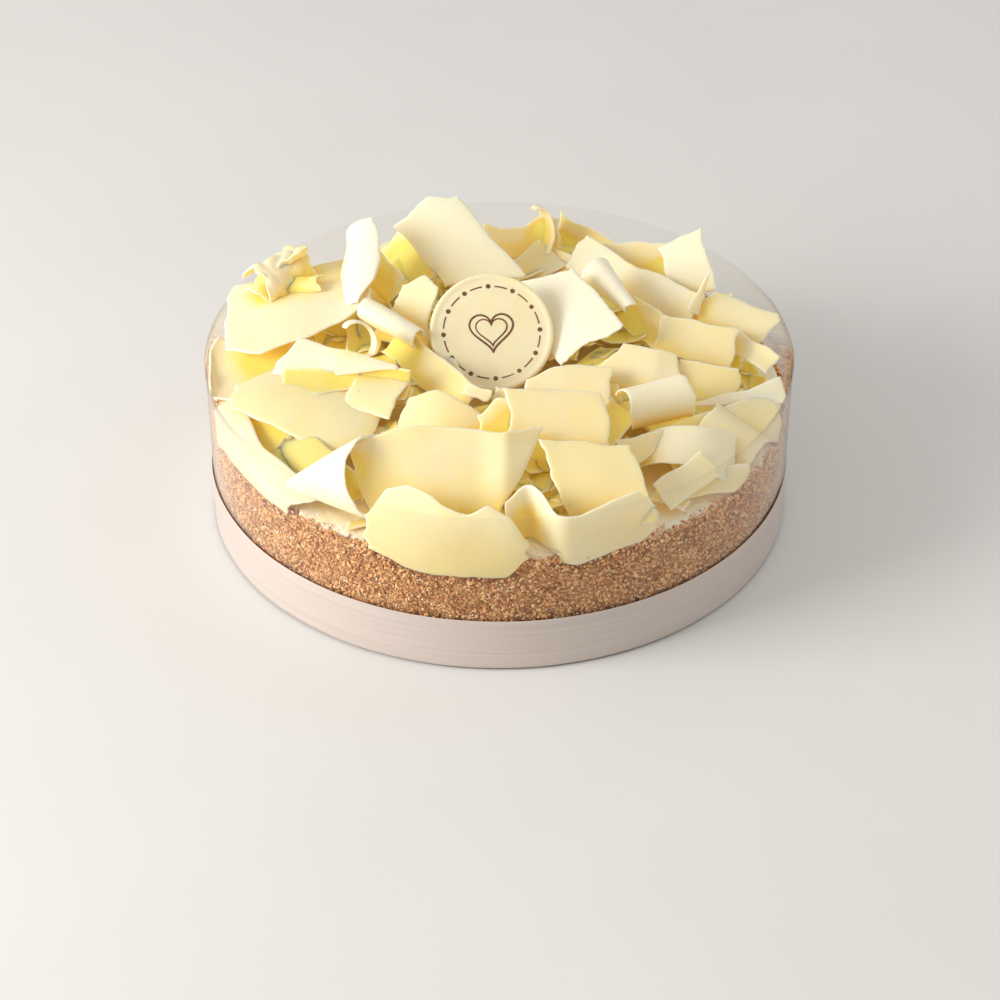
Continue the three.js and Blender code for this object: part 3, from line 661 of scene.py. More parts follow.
# %% Shape the shavings
def joined(parts):
    """One mesh from several: points one after another, and face numbers moved on to match."""
    first = np.cumsum([0] + [len(points) for points, _, _ in parts[:-1]])
    points = np.concatenate([points for points, _, _ in parts])
    faces = np.concatenate([faces + start for start, (_, faces, _) in zip(first, parts)])
    values = {key: np.concatenate([part[2][key] for part in parts]) for key in parts[0][2]}
    return points, faces, values


# golden on a scrap adds painted golden shade, as in the table.
SCRAPS = (
    dict(at=(-80, 25, 70.5), aim=(60, 25, 20), size=(13, 9), arc=-120, crumple=0.9, torn=3, golden=0.15),
    dict(at=(-71, 31, 74.5), aim=(20, 30, -30), size=(13, 10), arc=100, crumple=0.9, torn=3, golden=0.15),
    dict(at=(-68.5, 24, 70), aim=(-10, 10, 30), size=(13, 8), arc=-140, crumple=0.7, torn=3, golden=0.3),
)
FIRST_SEED = 100
SCRAP_SEED = 900
SEED_STEP = 10  # a sheet draws from eight seeds in a row

sheets = {}
for number, (name, row) in enumerate(SHAVINGS.items()):
    sheets[name] = sheet_mesh(row, FIRST_SEED + SEED_STEP * number)
scraps = [sheet_mesh(row, SCRAP_SEED + SEED_STEP * number) for number, row in enumerate(SCRAPS)]
sheets["left_crumple"] = joined([sheets["left_crumple"], *scraps])
sheet_points = np.concatenate([points for points, _, _ in sheets.values()])

# %% [markdown]
# The plaque leans back in the middle of the heap. Its place is settled before the small shavings are made,
# so that those that would lie before its face can be left out.

# %% Where the plaque stands
PLAQUE_PLACE = np.array([-2.5, -0.3, 64.8])
PLAQUE_TURN = np.radians(6)
PLAQUE_LEAN = np.radians(50)
PLAQUE_RADIUS = 21
CLEAR_MARGIN = 3
CLEAR_DEPTH = 12

PLAQUE_RIGHT = np.array([np.cos(PLAQUE_TURN), np.sin(PLAQUE_TURN), 0])
PLAQUE_FACE = np.array([
    np.sin(PLAQUE_TURN) * np.cos(PLAQUE_LEAN),
    -np.cos(PLAQUE_TURN) * np.cos(PLAQUE_LEAN),
    np.sin(PLAQUE_LEAN),
])
PLAQUE_UP = np.cross(PLAQUE_FACE, PLAQUE_RIGHT)


def on_plaque(points):
    """Carries x to the right, y up and z out of the standing disc's face."""
    return PLAQUE_PLACE + points @ np.stack([PLAQUE_RIGHT, PLAQUE_UP, PLAQUE_FACE])


def in_front_of_plaque(points):
    """Whether any point lies before the disc's face, inside a cylinder a little wider than it."""
    x, y, z = np.stack([PLAQUE_RIGHT, PLAQUE_UP, PLAQUE_FACE]) @ (points - PLAQUE_PLACE).T
    return np.any((np.hypot(x, y) < PLAQUE_RADIUS + CLEAR_MARGIN) & (z > -2) & (z < CLEAR_DEPTH))


# %% [markdown]
# ## The bed of small shavings
# Under the broad sheets lie broken pieces of every size. A few hundred small sheets, made by the same
# functions from random rows, follow the slope of a low dome in three layers: wide flat ones, small ones out
# to the crumbs, and higher ones at the back, where there are few broad sheets. All of them are one mesh,
# because they are one kind of thing.

# %% Small shavings
BED_RADIUS = 84
BED_HEIGHT = 13
BED_FOOT = CAKE_HEIGHT + 0.4


def bed_height(radius):
    """Height of the dome: a flattened cap, foot + height * (1 - (r/R)^2)^0.6."""
    return BED_FOOT + BED_HEIGHT * np.clip(1 - (radius / BED_RADIUS) ** 2, 0, 1) ** 0.6


def small_row(draw, radius, azimuth, long, tilt, lift):
    """A random shaving lying on the dome or up to lift above it, tilted by up to tilt degrees either way."""
    height = bed_height(radius) + draw.uniform(0.5, 3) + draw.uniform(0.3, 1) * lift
    return dict(
        at=(radius * np.cos(azimuth), radius * np.sin(azimuth), height),
        aim=(draw.uniform(0, 360), draw.uniform(-tilt, tilt), draw.uniform(-tilt, tilt)),
        size=(long, long * draw.uniform(0.4, 0.8)),
        ends=(draw.uniform(0.6, 1.2), draw.uniform(0.5, 1.1)),
        slant=draw.uniform(-3, 3),
        arc=draw.choice([-1, 1]) * draw.uniform(10, 90),
        bow=draw.uniform(-40, 40),
    )


def sunflower(count, reach, draw):
    """Places spread evenly on a disc: the radius grows as a square root, the azimuth by 137.5 degrees."""
    k = np.arange(count)
    azimuth = k * np.pi * (3 - np.sqrt(5)) + draw.uniform(-0.3, 0.3, count)
    return reach * np.sqrt((k + 0.5) / count), azimuth


# Sheets laid over the two holes where the heap sinks between the broad ones.
# Their golden share is painted golden shade, as they lie in the shade under the broad sheets.
BRIDGES = (
    dict(at=(-71, -46, 51.5), aim=(-52, -3, 25), size=(38, 19), arc=-30, golden=0.45),
    dict(at=(-63, -57, 49.5), aim=(-40, -3, 20), size=(26, 14), arc=30, golden=0.6),
)
# How many, out to what radius, shortest and longest length, greatest tilt and greatest lift above the dome.
LAYERS = ((80, 78, 18, 32, 14, 0), (210, 91, 8, 16, 24, 0), (90, 84, 18, 34, 24, 6))
BACK_BEGINS = 22
LAYER_SEED = 5000
BRIDGE_SEED = 8000
COARSE = 1.3  # spacing of the points on a small sheet

draw = np.random.default_rng(7)
parts = []
for count, reach, shortest, longest, tilt, lift in LAYERS:
    for radius, azimuth in zip(*sunflower(count, reach, draw)):
        row = small_row(draw, radius, azimuth, draw.uniform(shortest, longest), tilt, lift)
        if lift == 0 or row["at"][1] > BACK_BEGINS:
            parts.append(sheet_mesh(row, LAYER_SEED + SEED_STEP * len(parts), COARSE))
parts = [part for part in parts if not in_front_of_plaque(part[0])]
for number, row in enumerate(BRIDGES):
    parts.append(sheet_mesh(row, BRIDGE_SEED + SEED_STEP * number, COARSE))
small = joined(parts)

# %% [markdown]
# With every sheet shaped, the map of the heap's height is known, so each point gets its depth, which sets its
# painted golden shade, and the sheets become pieces. Each large one stands for its own solid and the small
# ones for the bed.

# %% Make the heap
def painted_golden_shade(points, values, heights):
    """The painted golden shade of each point: its depth, less on whiter sheets, plus what its row adds."""
    return np.minimum(painted_shade_share(points, heights) * (1 - values["milky_and_lit"]) + values.pop("golden"), 1)


heights = heap_heights(np.concatenate([sheet_points, small[0]]))
for name, (points, faces, values) in sheets.items():
    values["depth"] = painted_golden_shade(points, values, heights)
    new_piece(f"shaving_{name}", points, faces, CHOCOLATE, (name,), values=values)
points, faces, values = small
values["depth"] = painted_golden_shade(points, values, heights)
new_piece("small_shavings", points, faces, CHOCOLATE, ("shavings_bed",), values=values)

# %% [markdown]
# ## Turned pieces
# The cake, its cream and the plaque are round, so each is a profile of radius and height carried round an
# axis. The first and last points of a profile lie on the axis, where a fan of triangles closes the piece.

# %% Turning helper
def turned(profile, steps):
    """Points and faces of a profile carried round the axis, closed by a fan of triangles at both poles."""
    profile = np.asarray(profile, float)
    angle = np.arange(steps) * 2 * np.pi / steps
    ring = np.stack([np.cos(angle), np.sin(angle)], -1)
    body = profile[1:-1]
    heights = np.broadcast_to(body[:, None, 1:], (len(body), steps, 1))
    rings = np.concatenate([body[:, None, :1] * ring, heights], -1).reshape(-1, 3)
    points = np.concatenate([rings, [[0, 0, profile[0, 1]], [0, 0, profile[-1, 1]]]])
    here = np.arange(steps)
    ahead = (here + 1) % steps
    last = (len(body) - 1) * steps
    low, high = len(points) - 2, len(points) - 1
    fans = np.concatenate([
        np.stack([ahead, here, np.full(steps, low)], -1),
        np.stack([last + here, last + ahead, np.full(steps, high)], -1),
    ])
    return points, [grid_faces(len(body), steps, wrap=True), fans]


def cake_wave(azimuth):
    """The slow unevenness of the crumb line, between -1 and 1."""
    return 0.5 * np.sin(3 * azimuth + 0.6) + 0.3 * np.sin(7 * azimuth + 2) + 0.2 * np.sin(13 * azimuth)


# %% [markdown]
# ## The crumb coat
# The side is pressed into fine biscuit crumbs, toasted golden brown, a millimetre or two across. Crumbs that
# small are half texture and half things: the core under them is a lumpy surface with a mottled, bumpy
# material, and on it stick thousands of separate angular crumbs of three tones. Their colour varies from
# crumb to crumb, which a value on the mesh carries.

# %% Crumb materials
def crumb_material(name, light, dark, gloss):
    """Toasted biscuit: a tone for each crumb, and fine pores."""
    material, tree = new_material(name)
    place = place_of(tree)
    tone = value_of(tree, "tone")
    pores = noise(tree, place, 3000.0, 3.0, 0.6)
    shade = blend(tree, tone, dark, light)
    colour = blend(tree, spread(tree, pores, 0.35, 0.65, 0.0, 0.35), shade, dark)
    finish_with(
        tree,
        Base_Color=colour,
        Roughness=spread(tree, pores, 0.3, 0.7, gloss, gloss + 0.2),
        Normal=dents(tree, pores, 0.00012),
        Subsurface_Weight=0.12,
        Subsurface_Radius=(1.0, 0.5, 0.25),
        Subsurface_Scale=0.0008,
    )
    return material


def core_material():
    """Packed crumbs: cells of about a millimetre in mixed golden browns, with painted shade between them."""
    material, tree = new_material("crumb_core")
    place = place_of(tree)
    cells = node(tree, "TexVoronoi", {"Vector": place, "Scale": 1100.0})
    tone = node(tree, "SeparateColor", {"Color": cells.outputs["Color"]}).outputs[0]
    colour = blend(tree, tone, (0.52, 0.23, 0.08), (0.89, 0.53, 0.24))
    # Painted shade: darker in the gaps between the cells.
    gap = spread(tree, cells.outputs["Distance"], 0.35, 0.75)
    colour = blend(tree, gap, colour, (0.36, 0.16, 0.055))
    fine = noise(tree, place, 2500.0, 4.0, 0.6)
    bump = dents(tree, cells.outputs["Distance"], -0.0005, dents(tree, fine, 0.0002))
    finish_with(tree, Base_Color=colour, Roughness=0.85, Normal=bump)
    return material


CORE = core_material()
GOLDEN = crumb_material("crumb_golden", (0.98, 0.66, 0.33), (0.85, 0.46, 0.19), 0.55)
TOASTED = crumb_material("crumb_toasted", (0.78, 0.39, 0.15), (0.46, 0.18, 0.06), 0.55)
PALE = crumb_material("crumb_pale", (0.99, 0.92, 0.70), (0.95, 0.76, 0.48), 0.4)

# %% [markdown]
# Some shavings hang down over the crumbs at the front. Behind them the core is drawn in a little, so that
# they lie on it and don't sink into it. That needs the distance from each point to the nearest sheet.

# %% Crumb core
def distance_to(places, others):
    """The distance from each place to the nearest of the other points."""
    tree = KDTree(len(others))
    for k, point in enumerate(others):
        tree.insert(point, k)
    tree.balance()
    return np.array([tree.find(place)[2] for place in places])


RIM_WIDTH = 1.6
RIM_WAVE = 1.1  # unevenness of the crumb line
CREAM_DEPTH = 4
CORE_RADIUS = CAKE_RADIUS - 1.0
CORE_TOP = CAKE_HEIGHT - 0.6
CORNER = 0.6
INNER_RING = 60  # a ring on each flat face, which shortens the triangles of its fan
NEAR_SHEET = (1.5, 4)  # within these distances a surface gives way to a hanging sheet
CORE_GIVES = 2.2

side = [(CORE_RADIUS, z) for z in np.arange(1, CORE_TOP - 1, 0.9)]
middle = (CORE_RADIUS - CORNER, CORE_TOP - CORNER)
corner = round_points(CORNER, [15, 35, 55, 75], middle)
rim = CAKE_RADIUS - RIM_WIDTH
underside = CAKE_HEIGHT - CREAM_DEPTH  # of the cream
profile = [(0, 0), (INNER_RING, 0), (CORE_RADIUS - CORNER, 0), *side, *corner, (rim, CORE_TOP - 0.1)]
profile += [(rim, underside), (INNER_RING, underside), (0, underside)]
points, faces = turned(profile, 720)
radius = radius_of(points)
azimuth = np.arctan2(points[:, 1], points[:, 0])
shown = (radius > rim - 1) & (points[:, 2] > 2)
lumps = 0.35 * waves(points, 3.2, 11, 16) + 0.45 * waves(points, 9, 12)
push = np.where(shown, 1 + lumps / CORE_RADIUS, 1)
near_side = sheet_points[radius_of(sheet_points) > 88][::3]
hanging = 1 - smooth_step(distance_to(points, near_side), *NEAR_SHEET)
push -= np.where(shown, CORE_GIVES / CORE_RADIUS * hanging, 0)
points[:, :2] *= push[:, None]
raised = shown & (points[:, 2] > CORE_TOP - 2.5)
points[:, 2] += np.where(raised, RIM_WAVE * cake_wave(azimuth) + 0.8 * lumps, 0)
new_piece("crumb_core", points, faces, CORE, ("cake_body",))

# %% [markdown]
# A crumb is an icosahedron with its corners pushed about and squashed, twenty faces in all. Every crumb is
# the same small array moved, turned and scaled by rows of random numbers, so a single array expression makes
# all of them. Crumbs within a millimetre of a shaving at the side are left out.

# %% Crumbs
GOLD = (1 + 5**0.5) / 2
CORNERS = np.array([
    (-1, GOLD, 0), (1, GOLD, 0), (-1, -GOLD, 0), (1, -GOLD, 0), (0, -1, GOLD), (0, 1, GOLD),
    (0, -1, -GOLD), (0, 1, -GOLD), (GOLD, 0, -1), (GOLD, 0, 1), (-GOLD, 0, -1), (-GOLD, 0, 1),
]) / np.hypot(1, GOLD)
SIDES = np.array([
    (0, 11, 5), (0, 5, 1), (0, 1, 7), (0, 7, 10), (0, 10, 11), (1, 5, 9), (5, 11, 4), (11, 10, 2), (10, 7, 6),
    (7, 1, 8), (3, 9, 4), (3, 4, 2), (3, 2, 6), (3, 6, 8), (3, 8, 9), (4, 9, 5), (2, 4, 11), (6, 2, 10),
    (8, 6, 7), (9, 8, 1),
])


def random_turns(draw, count):
    """Rotation matrices from random unit quaternions."""
    four = draw.normal(size=(4, count))
    w, x, y, z = four / np.linalg.norm(four, axis=0)
    return np.moveaxis(np.array([
        [1 - 2 * (y * y + z * z), 2 * (x * y - w * z), 2 * (x * z + w * y)],
        [2 * (x * y + w * z), 1 - 2 * (x * x + z * z), 2 * (y * z - w * x)],
        [2 * (x * z - w * y), 2 * (y * z + w * x), 1 - 2 * (x * x + y * y)],
    ]), 2, 0)


def scattered(draw, places, sizes, squash=(1, 0.8, 0.6)):
    """Crumbs at the given places: corners pushed about, squashed, scaled, turned and moved."""
    count = len(places)
    shape = CORNERS * draw.uniform(0.72, 1.2, (count, 12, 1)) * np.array(squash)
    shape = np.einsum("nij,nkj->nki", random_turns(draw, count), shape) * sizes[:, None, None] / 2
    points = (shape + places[:, None, :]).reshape(-1, 3)
    faces = (SIDES[None] + 12 * np.arange(count)[:, None, None]).reshape(-1, 3)
    return points, faces


SIDE_SHARE = 0.85  # share of the crumbs that stick to the side
CRUMBS_FROM = 14  # lowest crumbs, hidden behind the ribbon


def side_places(draw, count):
    """Random places on the side and on the rim, thinning out over the cream."""
    azimuth = draw.uniform(0, 2 * np.pi, count)
    along = draw.uniform(0, 1, count)
    height = CAKE_HEIGHT + RIM_WAVE * cake_wave(azimuth)
    on_side = along < SIDE_SHARE
    inward = draw.exponential(0.6 + 0.4 * cake_wave(azimuth + 1.3), count)
    radius = np.where(on_side, CAKE_RADIUS - 0.75, CAKE_RADIUS - 0.9 - inward)
    on_top = CAKE_HEIGHT + 0.4 + 0.5 * cake_wave(azimuth) - 1.2 * np.exp(-inward / 0.8)
    on_wall = CRUMBS_FROM + (height - CRUMBS_FROM - 0.8) * along / SIDE_SHARE
    z = np.where(on_side, on_wall, on_top + draw.uniform(-0.3, 0.3, count))
    return np.stack([radius * np.cos(azimuth), radius * np.sin(azimuth), z], -1)


# Name, material, how many, middling size and seed.
TONES = (
    ("crumbs_golden", GOLDEN, 9900, 1.1, 21),
    ("crumbs_toasted", TOASTED, 8800, 1.0, 22),
    ("crumbs_pale", PALE, 2600, 0.85, 23),
)
SMALLEST_CRUMB, LARGEST_CRUMB = 0.45, 2.0
CLEAR_OF_SHEETS = 0.9  # how far the middle of a crumb stays from a shaving at the side

for name, material, count, middling, seed in TONES:
    draw = np.random.default_rng(seed)
    places = side_places(draw, count)
    places = places[distance_to(places, near_side) > CLEAR_OF_SHEETS]
    sizes = draw.lognormal(np.log(middling), 0.28, len(places))
    sizes = np.clip(sizes, SMALLEST_CRUMB, LARGEST_CRUMB)
    reach = radius_of(places)
    inside = np.minimum(1, (FILM_INSIDE - 0.45 * sizes) / reach)
    places[:, :2] *= inside[:, None]
    points, faces = scattered(draw, places, sizes)
    tone = np.repeat(draw.uniform(0, 1, len(places)), 12)
    new_piece(name, points, faces, material, smooth=False, values={"tone": tone})

# %% [markdown]
# Where the shavings were tipped on, flakes broke off them and fell on the cream and the crumbs. They are made
# as the crumbs are, but flatter, and of the chocolate.

# %% Flakes
FLAKE_COUNT = 5200
FLAKE_SIZE = 1.4

draw = np.random.default_rng(25)
places = side_places(draw, FLAKE_COUNT)
reach = radius_of(places)
places = places[(places[:, 2] > CAKE_HEIGHT - 1.5) & (reach < CAKE_RADIUS - 1.5)]
places[:, :2] *= 1 - 0.06 * draw.uniform(0, 1, (len(places), 1)) ** 2
places[:, 2] += 0.4
sizes = draw.lognormal(np.log(FLAKE_SIZE), 0.4, len(places))
flakes, faces = scattered(draw, places, sizes, (1, 0.75, 0.25))
none = np.zeros(len(flakes))
values = {"lie": flakes, "rim": none, "milky_and_lit": none + 1, "depth": none}
new_piece("flakes", flakes, faces, CHOCOLATE, smooth=False, values=values)

# %% [markdown]
# ## The cream
# A shallow bed of cream lies inside the crumb rim. It shows only as an uneven band between the crumbs and
# the shavings, so what matters is its soft edge and the marks of the spatula.

# %% Cream
def cream_material():
    """Cheese cream: pale, soft, spatula marks, a moist surface, and painted golden shade near the heap."""
    material, tree = new_material("cream")
    place = place_of(tree)
    marks = noise(tree, place, 160.0, 4.0, 0.6)
    colour = blend(tree, spread(tree, marks, 0.3, 0.7), (0.98, 0.92, 0.70), (0.99, 0.95, 0.80))
    # Painted shade: golden where the heap hides the sky, as on the shavings.
    colour = blend(tree, value_of(tree, "depth"), colour, (1.0, 0.80, 0.20))
    finish_with(
        tree,
        Base_Color=colour,
        Roughness=spread(tree, marks, 0.3, 0.7, 0.42, 0.6),
        Normal=dents(tree, marks, 0.0004),
        Subsurface_Weight=0.4,
        Subsurface_Radius=(1.0, 0.7, 0.4),
        Subsurface_Scale=0.002,
    )
    return material


SHOULDER = 1.6  # radius of the cream's rounded edge
CROWN = 0.3
CREAM_GIVES = 2.4

foot = underside + 0.1
edge = rim - 0.2
top = CAKE_HEIGHT + CROWN
shoulder = round_points(SHOULDER, [0, 30, 60, 90], (edge - SHOULDER, top - SHOULDER))
flat = [(r, top) for r in np.arange(edge - 3, INNER_RING, -1.2)]
profile = [(0, foot), (INNER_RING, foot), (edge, foot), *shoulder, *flat, (INNER_RING / 2, top), (0, top)]
points, faces = turned(profile, 480)
azimuth = np.arctan2(points[:, 1], points[:, 0])
hanging = 1 - smooth_step(distance_to(points, near_side), *NEAR_SHEET)
radius = radius_of(points)
points[:, :2] *= 1 - (CREAM_GIVES / CAKE_RADIUS * hanging * smooth_step(radius, 90, 95))[:, None]
swell = 0.5 * cake_wave(azimuth) + 0.25 * waves(points, 11, 31) + 0.12 * waves(points, 3.5, 32)
points[:, 2] += np.where(points[:, 2] > CAKE_HEIGHT - 1, swell, 0)
# Half the shavings' painted golden shade.
values = {"depth": 0.5 * painted_shade_share(points, heights)}
new_piece("cream", points, faces, cream_material(), ("cream_top",), values=values)

# %% [markdown]
# ## Film and ribbon
# Both are strips wound once round the cake, with their last few degrees lapped over the start. A strip is a
# small closed cross section carried along that path. The film stands up well past the cream and is so thin
# that only its edges and its reflections show. The ribbon is satin: threads run along it and its sheen
# stretches across them.

# %% Lapped strips
def lapped_strip(radius, thickness, foot, height, start, lap, steps=720, ease=0.12, ripple=0.0, seed=0):
    """A strip round the axis whose end laps over its start: a flat section with eased corners, carried round.

    Its radius steps out by its thickness and a gap in the five degrees before it meets its own start.
    """
    total = 360 + lap
    along = np.linspace(0, total, steps)
    lift = smooth_step(along, 355, 359.5) * (thickness + 0.06)
    angle = np.radians(start + along)
    half = thickness / 2
    rows = np.linspace(ease, height - ease, 14)
    outer = [(half - ease / 2, 0.0), *[(half, z) for z in rows], (half - ease / 2, height)]
    inner = [(-half + ease / 2, height), *[(-half, z) for z in rows[::-1]], (-half + ease / 2, 0.0)]
    section = np.array(outer + inner)
    sway = ripple * waves(np.stack([np.cos(angle) * 100, np.sin(angle) * 100], -1), 34, seed)
    sway = sway[:, None] + 0.6 * ripple * waves(
        np.stack(np.broadcast_arrays(along[:, None] * 1.7, section[None, :, 1] * 2.5), -1), 26, seed + 1)
    reach = radius + half + lift[:, None] + section[None, :, 0] + np.maximum(sway, -ripple)
    z = np.broadcast_to(foot + section[None, :, 1], reach.shape)
    points = np.stack([reach * np.cos(angle)[:, None], reach * np.sin(angle)[:, None], z], -1).reshape(-1, 3)
    columns = len(section)
    last = (steps - 1) * columns
    cap = cap_faces(columns)
    faces = [grid_faces(steps, columns, wrap=True, flip=True), np.concatenate([cap, last + cap[:, ::-1]])]
    lie = np.stack(np.broadcast_arrays(np.radians(along)[:, None] * radius, section[None, :, 1], 0.0), -1)
    return points, faces, {"lie": lie.reshape(-1, 3)}


def film_material():
    """Clear acetate: what is behind shows through, and it mirrors more the more it is seen along its face."""
    material, tree = new_material("clear_film")
    facing = node(tree, "LayerWeight", {"Blend": 0.5}).outputs["Facing"]
    steep = node(tree, "Math", {0: facing, 1: 4.0}, operation="POWER").outputs[0]
    share = spread(tree, steep, 0.0, 1.0, 0.014, 0.85)
    clear = node(tree, "BsdfTransparent", {"Color": (0.985, 0.98, 0.97, 1)})
    gloss = node(tree, "BsdfGlossy", {"Color": (1.0, 0.97, 0.94, 1), "Roughness": 0.06})
    mix = node(tree, "MixShader", {0: share, 1: clear.outputs[0], 2: gloss.outputs[0]})
    node(tree, "OutputMaterial", {"Surface": mix.outputs[0]})
    return material


def satin_material():
    """Satin ribbon: fine threads along it, a soft stretched sheen, pinkish beige."""
    material, tree = new_material("satin")
    lie = value_of(tree, "lie", "Vector")
    threads = node(
        tree, "TexWave",
        {"Vector": lie, "Scale": 1.1, "Distortion": 1.2, "Detail": 2.0, "Detail Scale": 0.6},
        bands_direction="Y",
    ).outputs["Fac"]
    streaks = stretched_noise(tree, lie, (0.012, 0.9, 1), 3.0)
    colour = blend(tree, spread(tree, streaks, 0.3, 0.7), (0.555, 0.475, 0.425), (0.63, 0.545, 0.495))
    finish_with(
        tree,
        Base_Color=colour,
        Roughness=spread(tree, streaks, 0.3, 0.7, 0.34, 0.44),
        Normal=dents(tree, threads, 0.00003, dents(tree, streaks, 0.00006)),
        Anisotropic=0.4,
        Sheen_Weight=0.25,
        Sheen_Roughness=0.4,
    )
    return material


FILM = dict(radius=99.6, thickness=0.16, foot=0.1, height=59.9, start=-12, lap=16, ease=0.06, ripple=0.05)
RIBBON = dict(radius=99.98, thickness=0.3, foot=0.9, height=19, start=118, lap=10, ripple=0.06)

points, faces, values = lapped_strip(**FILM, seed=41)
new_piece("clear_film", points, faces, film_material(), ("film_collar",), values=values)
points, faces, values = lapped_strip(**RIBBON, seed=43)
new_piece("satin_ribbon", points, faces, satin_material(), ("ribbon",), values=values)

# %% [markdown]
# ## The plaque
# A disc of chocolate cast flat, with a slightly raised rim. It stands in the heap and leans back.

# %% Plaque disc
HALF = 1.5  # half its thickness
SUNK = 0.34  # how far the face lies below the rim


def plaque_material():
    """Cast white chocolate: smoother and yellower than the shavings, with cloudy tempering marks."""
    material, tree = new_material("plaque_chocolate")
    place = place_of(tree)
    cloud = noise(tree, place, 90.0, 4.0, 0.6)
    fine = noise(tree, place, 1800.0, 2.0)
    colour = blend(tree, spread(tree, cloud, 0.35, 0.7), (0.98, 0.84, 0.52), (0.99, 0.885, 0.60))
    finish_with(
        tree,
        Base_Color=colour,
        Roughness=spread(tree, cloud, 0.3, 0.7, 0.24, 0.36),
        Normal=dents(tree, fine, 0.00001, dents(tree, cloud, 0.00012)),
        Subsurface_Weight=0.35,
        Subsurface_Radius=(1.0, 0.62, 0.25),
        Subsurface_Scale=0.0015,
        Coat_Weight=0.15,
        Coat_Roughness=0.2,
    )
    return material


back = [(0, -HALF), (10, -HALF), (PLAQUE_RADIUS - 0.9, -HALF), (PLAQUE_RADIUS - 0.3, -HALF + 0.25)]
outside = [(PLAQUE_RADIUS, -HALF + 0.8), (PLAQUE_RADIUS, HALF - 0.8), (PLAQUE_RADIUS - 0.25, HALF - 0.2)]
lip = [(PLAQUE_RADIUS - 0.8, HALF), (PLAQUE_RADIUS - 1.5, HALF - 0.08), (PLAQUE_RADIUS - 2.1, HALF - 0.3)]
front = [(r, HALF - SUNK) for r in (18.4, 17, 15, 12, 8, 4)]
points, faces = turned([*back, *outside, *lip, *front, (0, HALF - SUNK)], 160)
points[:, 2] += 0.05 * waves(points[:, :2], 14, 51)
new_piece("plaque_disc", on_plaque(points), faces, plaque_material(), ("plaque",))

# %% [markdown]
# The print is brown cocoa butter, so it is a very low relief: a line is a half-round strip carried along a
# curve drawn on the disc. The drawing is a plain heart with a double outline in a ring of dashes and dots.

# %% Plaque print
def relief_line(curve, width, height, closed=True):
    """A low half-round strip along a flat curve: at each point a section across it, width by height."""
    ahead = np.roll(curve, -1, 0) - np.roll(curve, 1, 0) if closed else np.gradient(curve, axis=0)
    across = np.stack([ahead[:, 1], -ahead[:, 0]], -1)
    across /= np.linalg.norm(across, axis=-1, keepdims=True)
    turn = np.radians([0, 35, 70, 110, 145, 180])
    offset = np.cos(turn) * width / 2
    rise = np.append(np.sin(turn) * height, [-0.15, -0.15])
    offset = np.append(offset, [-width / 2, width / 2])
    flat = curve[:, None, :] + across[:, None, :] * offset[None, :, None]
    z = np.broadcast_to(rise[None, :, None], (*flat.shape[:2], 1))
    points = np.concatenate([flat, z], -1)
    rows, columns = points.shape[:2]
    if closed:
        points = np.concatenate([points, points[:1]])
        rows += 1
    faces = [grid_faces(rows, columns, wrap=True)]
    if not closed:
        cap = cap_faces(columns)
        faces += [cap[:, ::-1], cap + (rows - 1) * columns]
    return points.reshape(-1, 3), np.concatenate(faces)


def heart(size, shift=0.0):
    """The usual heart curve: x = 16 sin^3 t, y = 13 cos t - 5 cos 2t - 2 cos 3t - cos 4t, over 16."""
    t = np.linspace(0, 2 * np.pi, 160, endpoint=False)
    x = 16 * np.sin(t) ** 3
    y = 13 * np.cos(t) - 5 * np.cos(2 * t) - 2 * np.cos(3 * t) - np.cos(4 * t)
    return np.stack([x, y + shift], -1) / 16 * size


RING = 16.4  # radius of the ring of dashes and dots
DASHES = 12

lines = [relief_line(heart(7.4, 1.6), 0.75, 0.12), relief_line(heart(5.3, 2.1), 0.55, 0.12)]
for k in range(DASHES):
    turn = 360 / DASHES * k
    dash = round_points(RING, np.linspace(turn + 7.5, turn + 22.5, 9))
    lines.append(relief_line(dash, 0.5, 0.1, closed=False))
    dot = round_points(0.42, np.arange(0, 360, 18), round_points(RING, turn))
    lines.append(relief_line(dot, 0.8, 0.12))
points, faces, _ = joined([(p, f, {}) for p, f in lines])
points[:, 2] += HALF - SUNK


def print_material():
    """Cocoa butter ink: dark brown, a little glossy, uneven where it was rolled on."""
    material, tree = new_material("print_brown")
    patches = noise(tree, place_of(tree), 900.0, 3.0)
    colour = blend(tree, spread(tree, patches, 0.3, 0.7), (0.13, 0.045, 0.012), (0.24, 0.10, 0.035))
    finish_with(tree, Base_Color=colour, Roughness=0.35, Normal=dents(tree, patches, 0.00003))
    return material


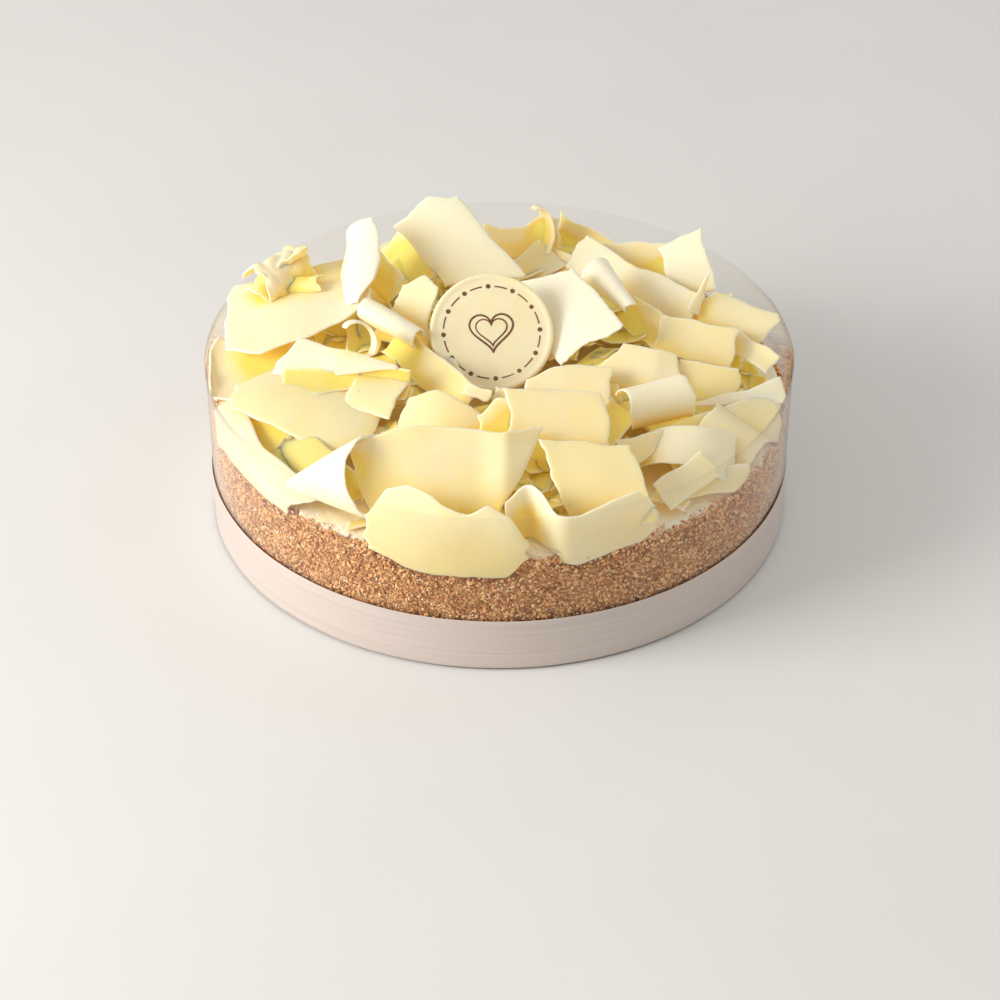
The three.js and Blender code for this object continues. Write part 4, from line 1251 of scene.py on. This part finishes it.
new_piece("plaque_print", on_plaque(points), faces, print_material())

# %% [markdown]
# ## Floor and light
# The floor is one pale sheet. A broad soft light stands low on the left, as a window does, so the left of
# the cake is bright and the right falls into a warm grey. A weak light on the right and the plain sky fill
# the shadows.

# %% Floor, light and sky
def floor_material():
    """Pale matte paper with a barely visible mottle."""
    material, tree = new_material("floor")
    mottle = noise(tree, place_of(tree), 8.0)
    colour = blend(tree, spread(tree, mottle, 0.3, 0.7), (0.76, 0.755, 0.735), (0.785, 0.78, 0.76))
    finish_with(tree, Base_Color=colour, Roughness=0.7)
    return material


FLOOR = 3000
corners = np.array([(-FLOOR, -FLOOR, 0), (FLOOR, -FLOOR, 0), (FLOOR, FLOOR, 0), (-FLOOR, FLOOR, 0)], float)
floor_mesh = bpy.data.meshes.new("floor")
floor_mesh.from_pydata((corners * MM).tolist(), [], [(0, 1, 2, 3)])
floor_mesh.materials.append(floor_material())
floor = bpy.data.objects.new("floor", floor_mesh)
scene.collection.objects.link(floor)


def soft_light(name, place, target, size, power, colour):
    """A square area light at place that faces target."""
    lamp = bpy.data.lights.new(name, "AREA")
    lamp.shape = "SQUARE"
    lamp.size = size
    lamp.energy = power
    lamp.color = colour
    holder = bpy.data.objects.new(name, lamp)
    holder.location = place
    holder.rotation_euler = (Vector(target) - Vector(place)).to_track_quat("-Z", "Y").to_euler()
    scene.collection.objects.link(holder)


soft_light("window", (-1.05, -0.36, 0.47), (0, 0, 0.05), 0.62, 14.6, (1.0, 0.97, 0.93))
soft_light("far_wall", (1.25, 0.25, 0.55), (0, 0, 0.05), 0.9, 1.4, (1.0, 0.97, 0.93))

sky = bpy.data.worlds.new("sky")
scene.world = sky
sky.use_nodes = True
sky.node_tree.nodes["Background"].inputs["Color"].default_value = (1.0, 0.985, 0.96, 1)
sky.node_tree.nodes["Background"].inputs["Strength"].default_value = 0.63
scene.view_settings.view_transform = "Standard"
scene.cycles.diffuse_bounces = 8
scene.cycles.max_bounces = 16
scene.cycles.transparent_max_bounces = 24
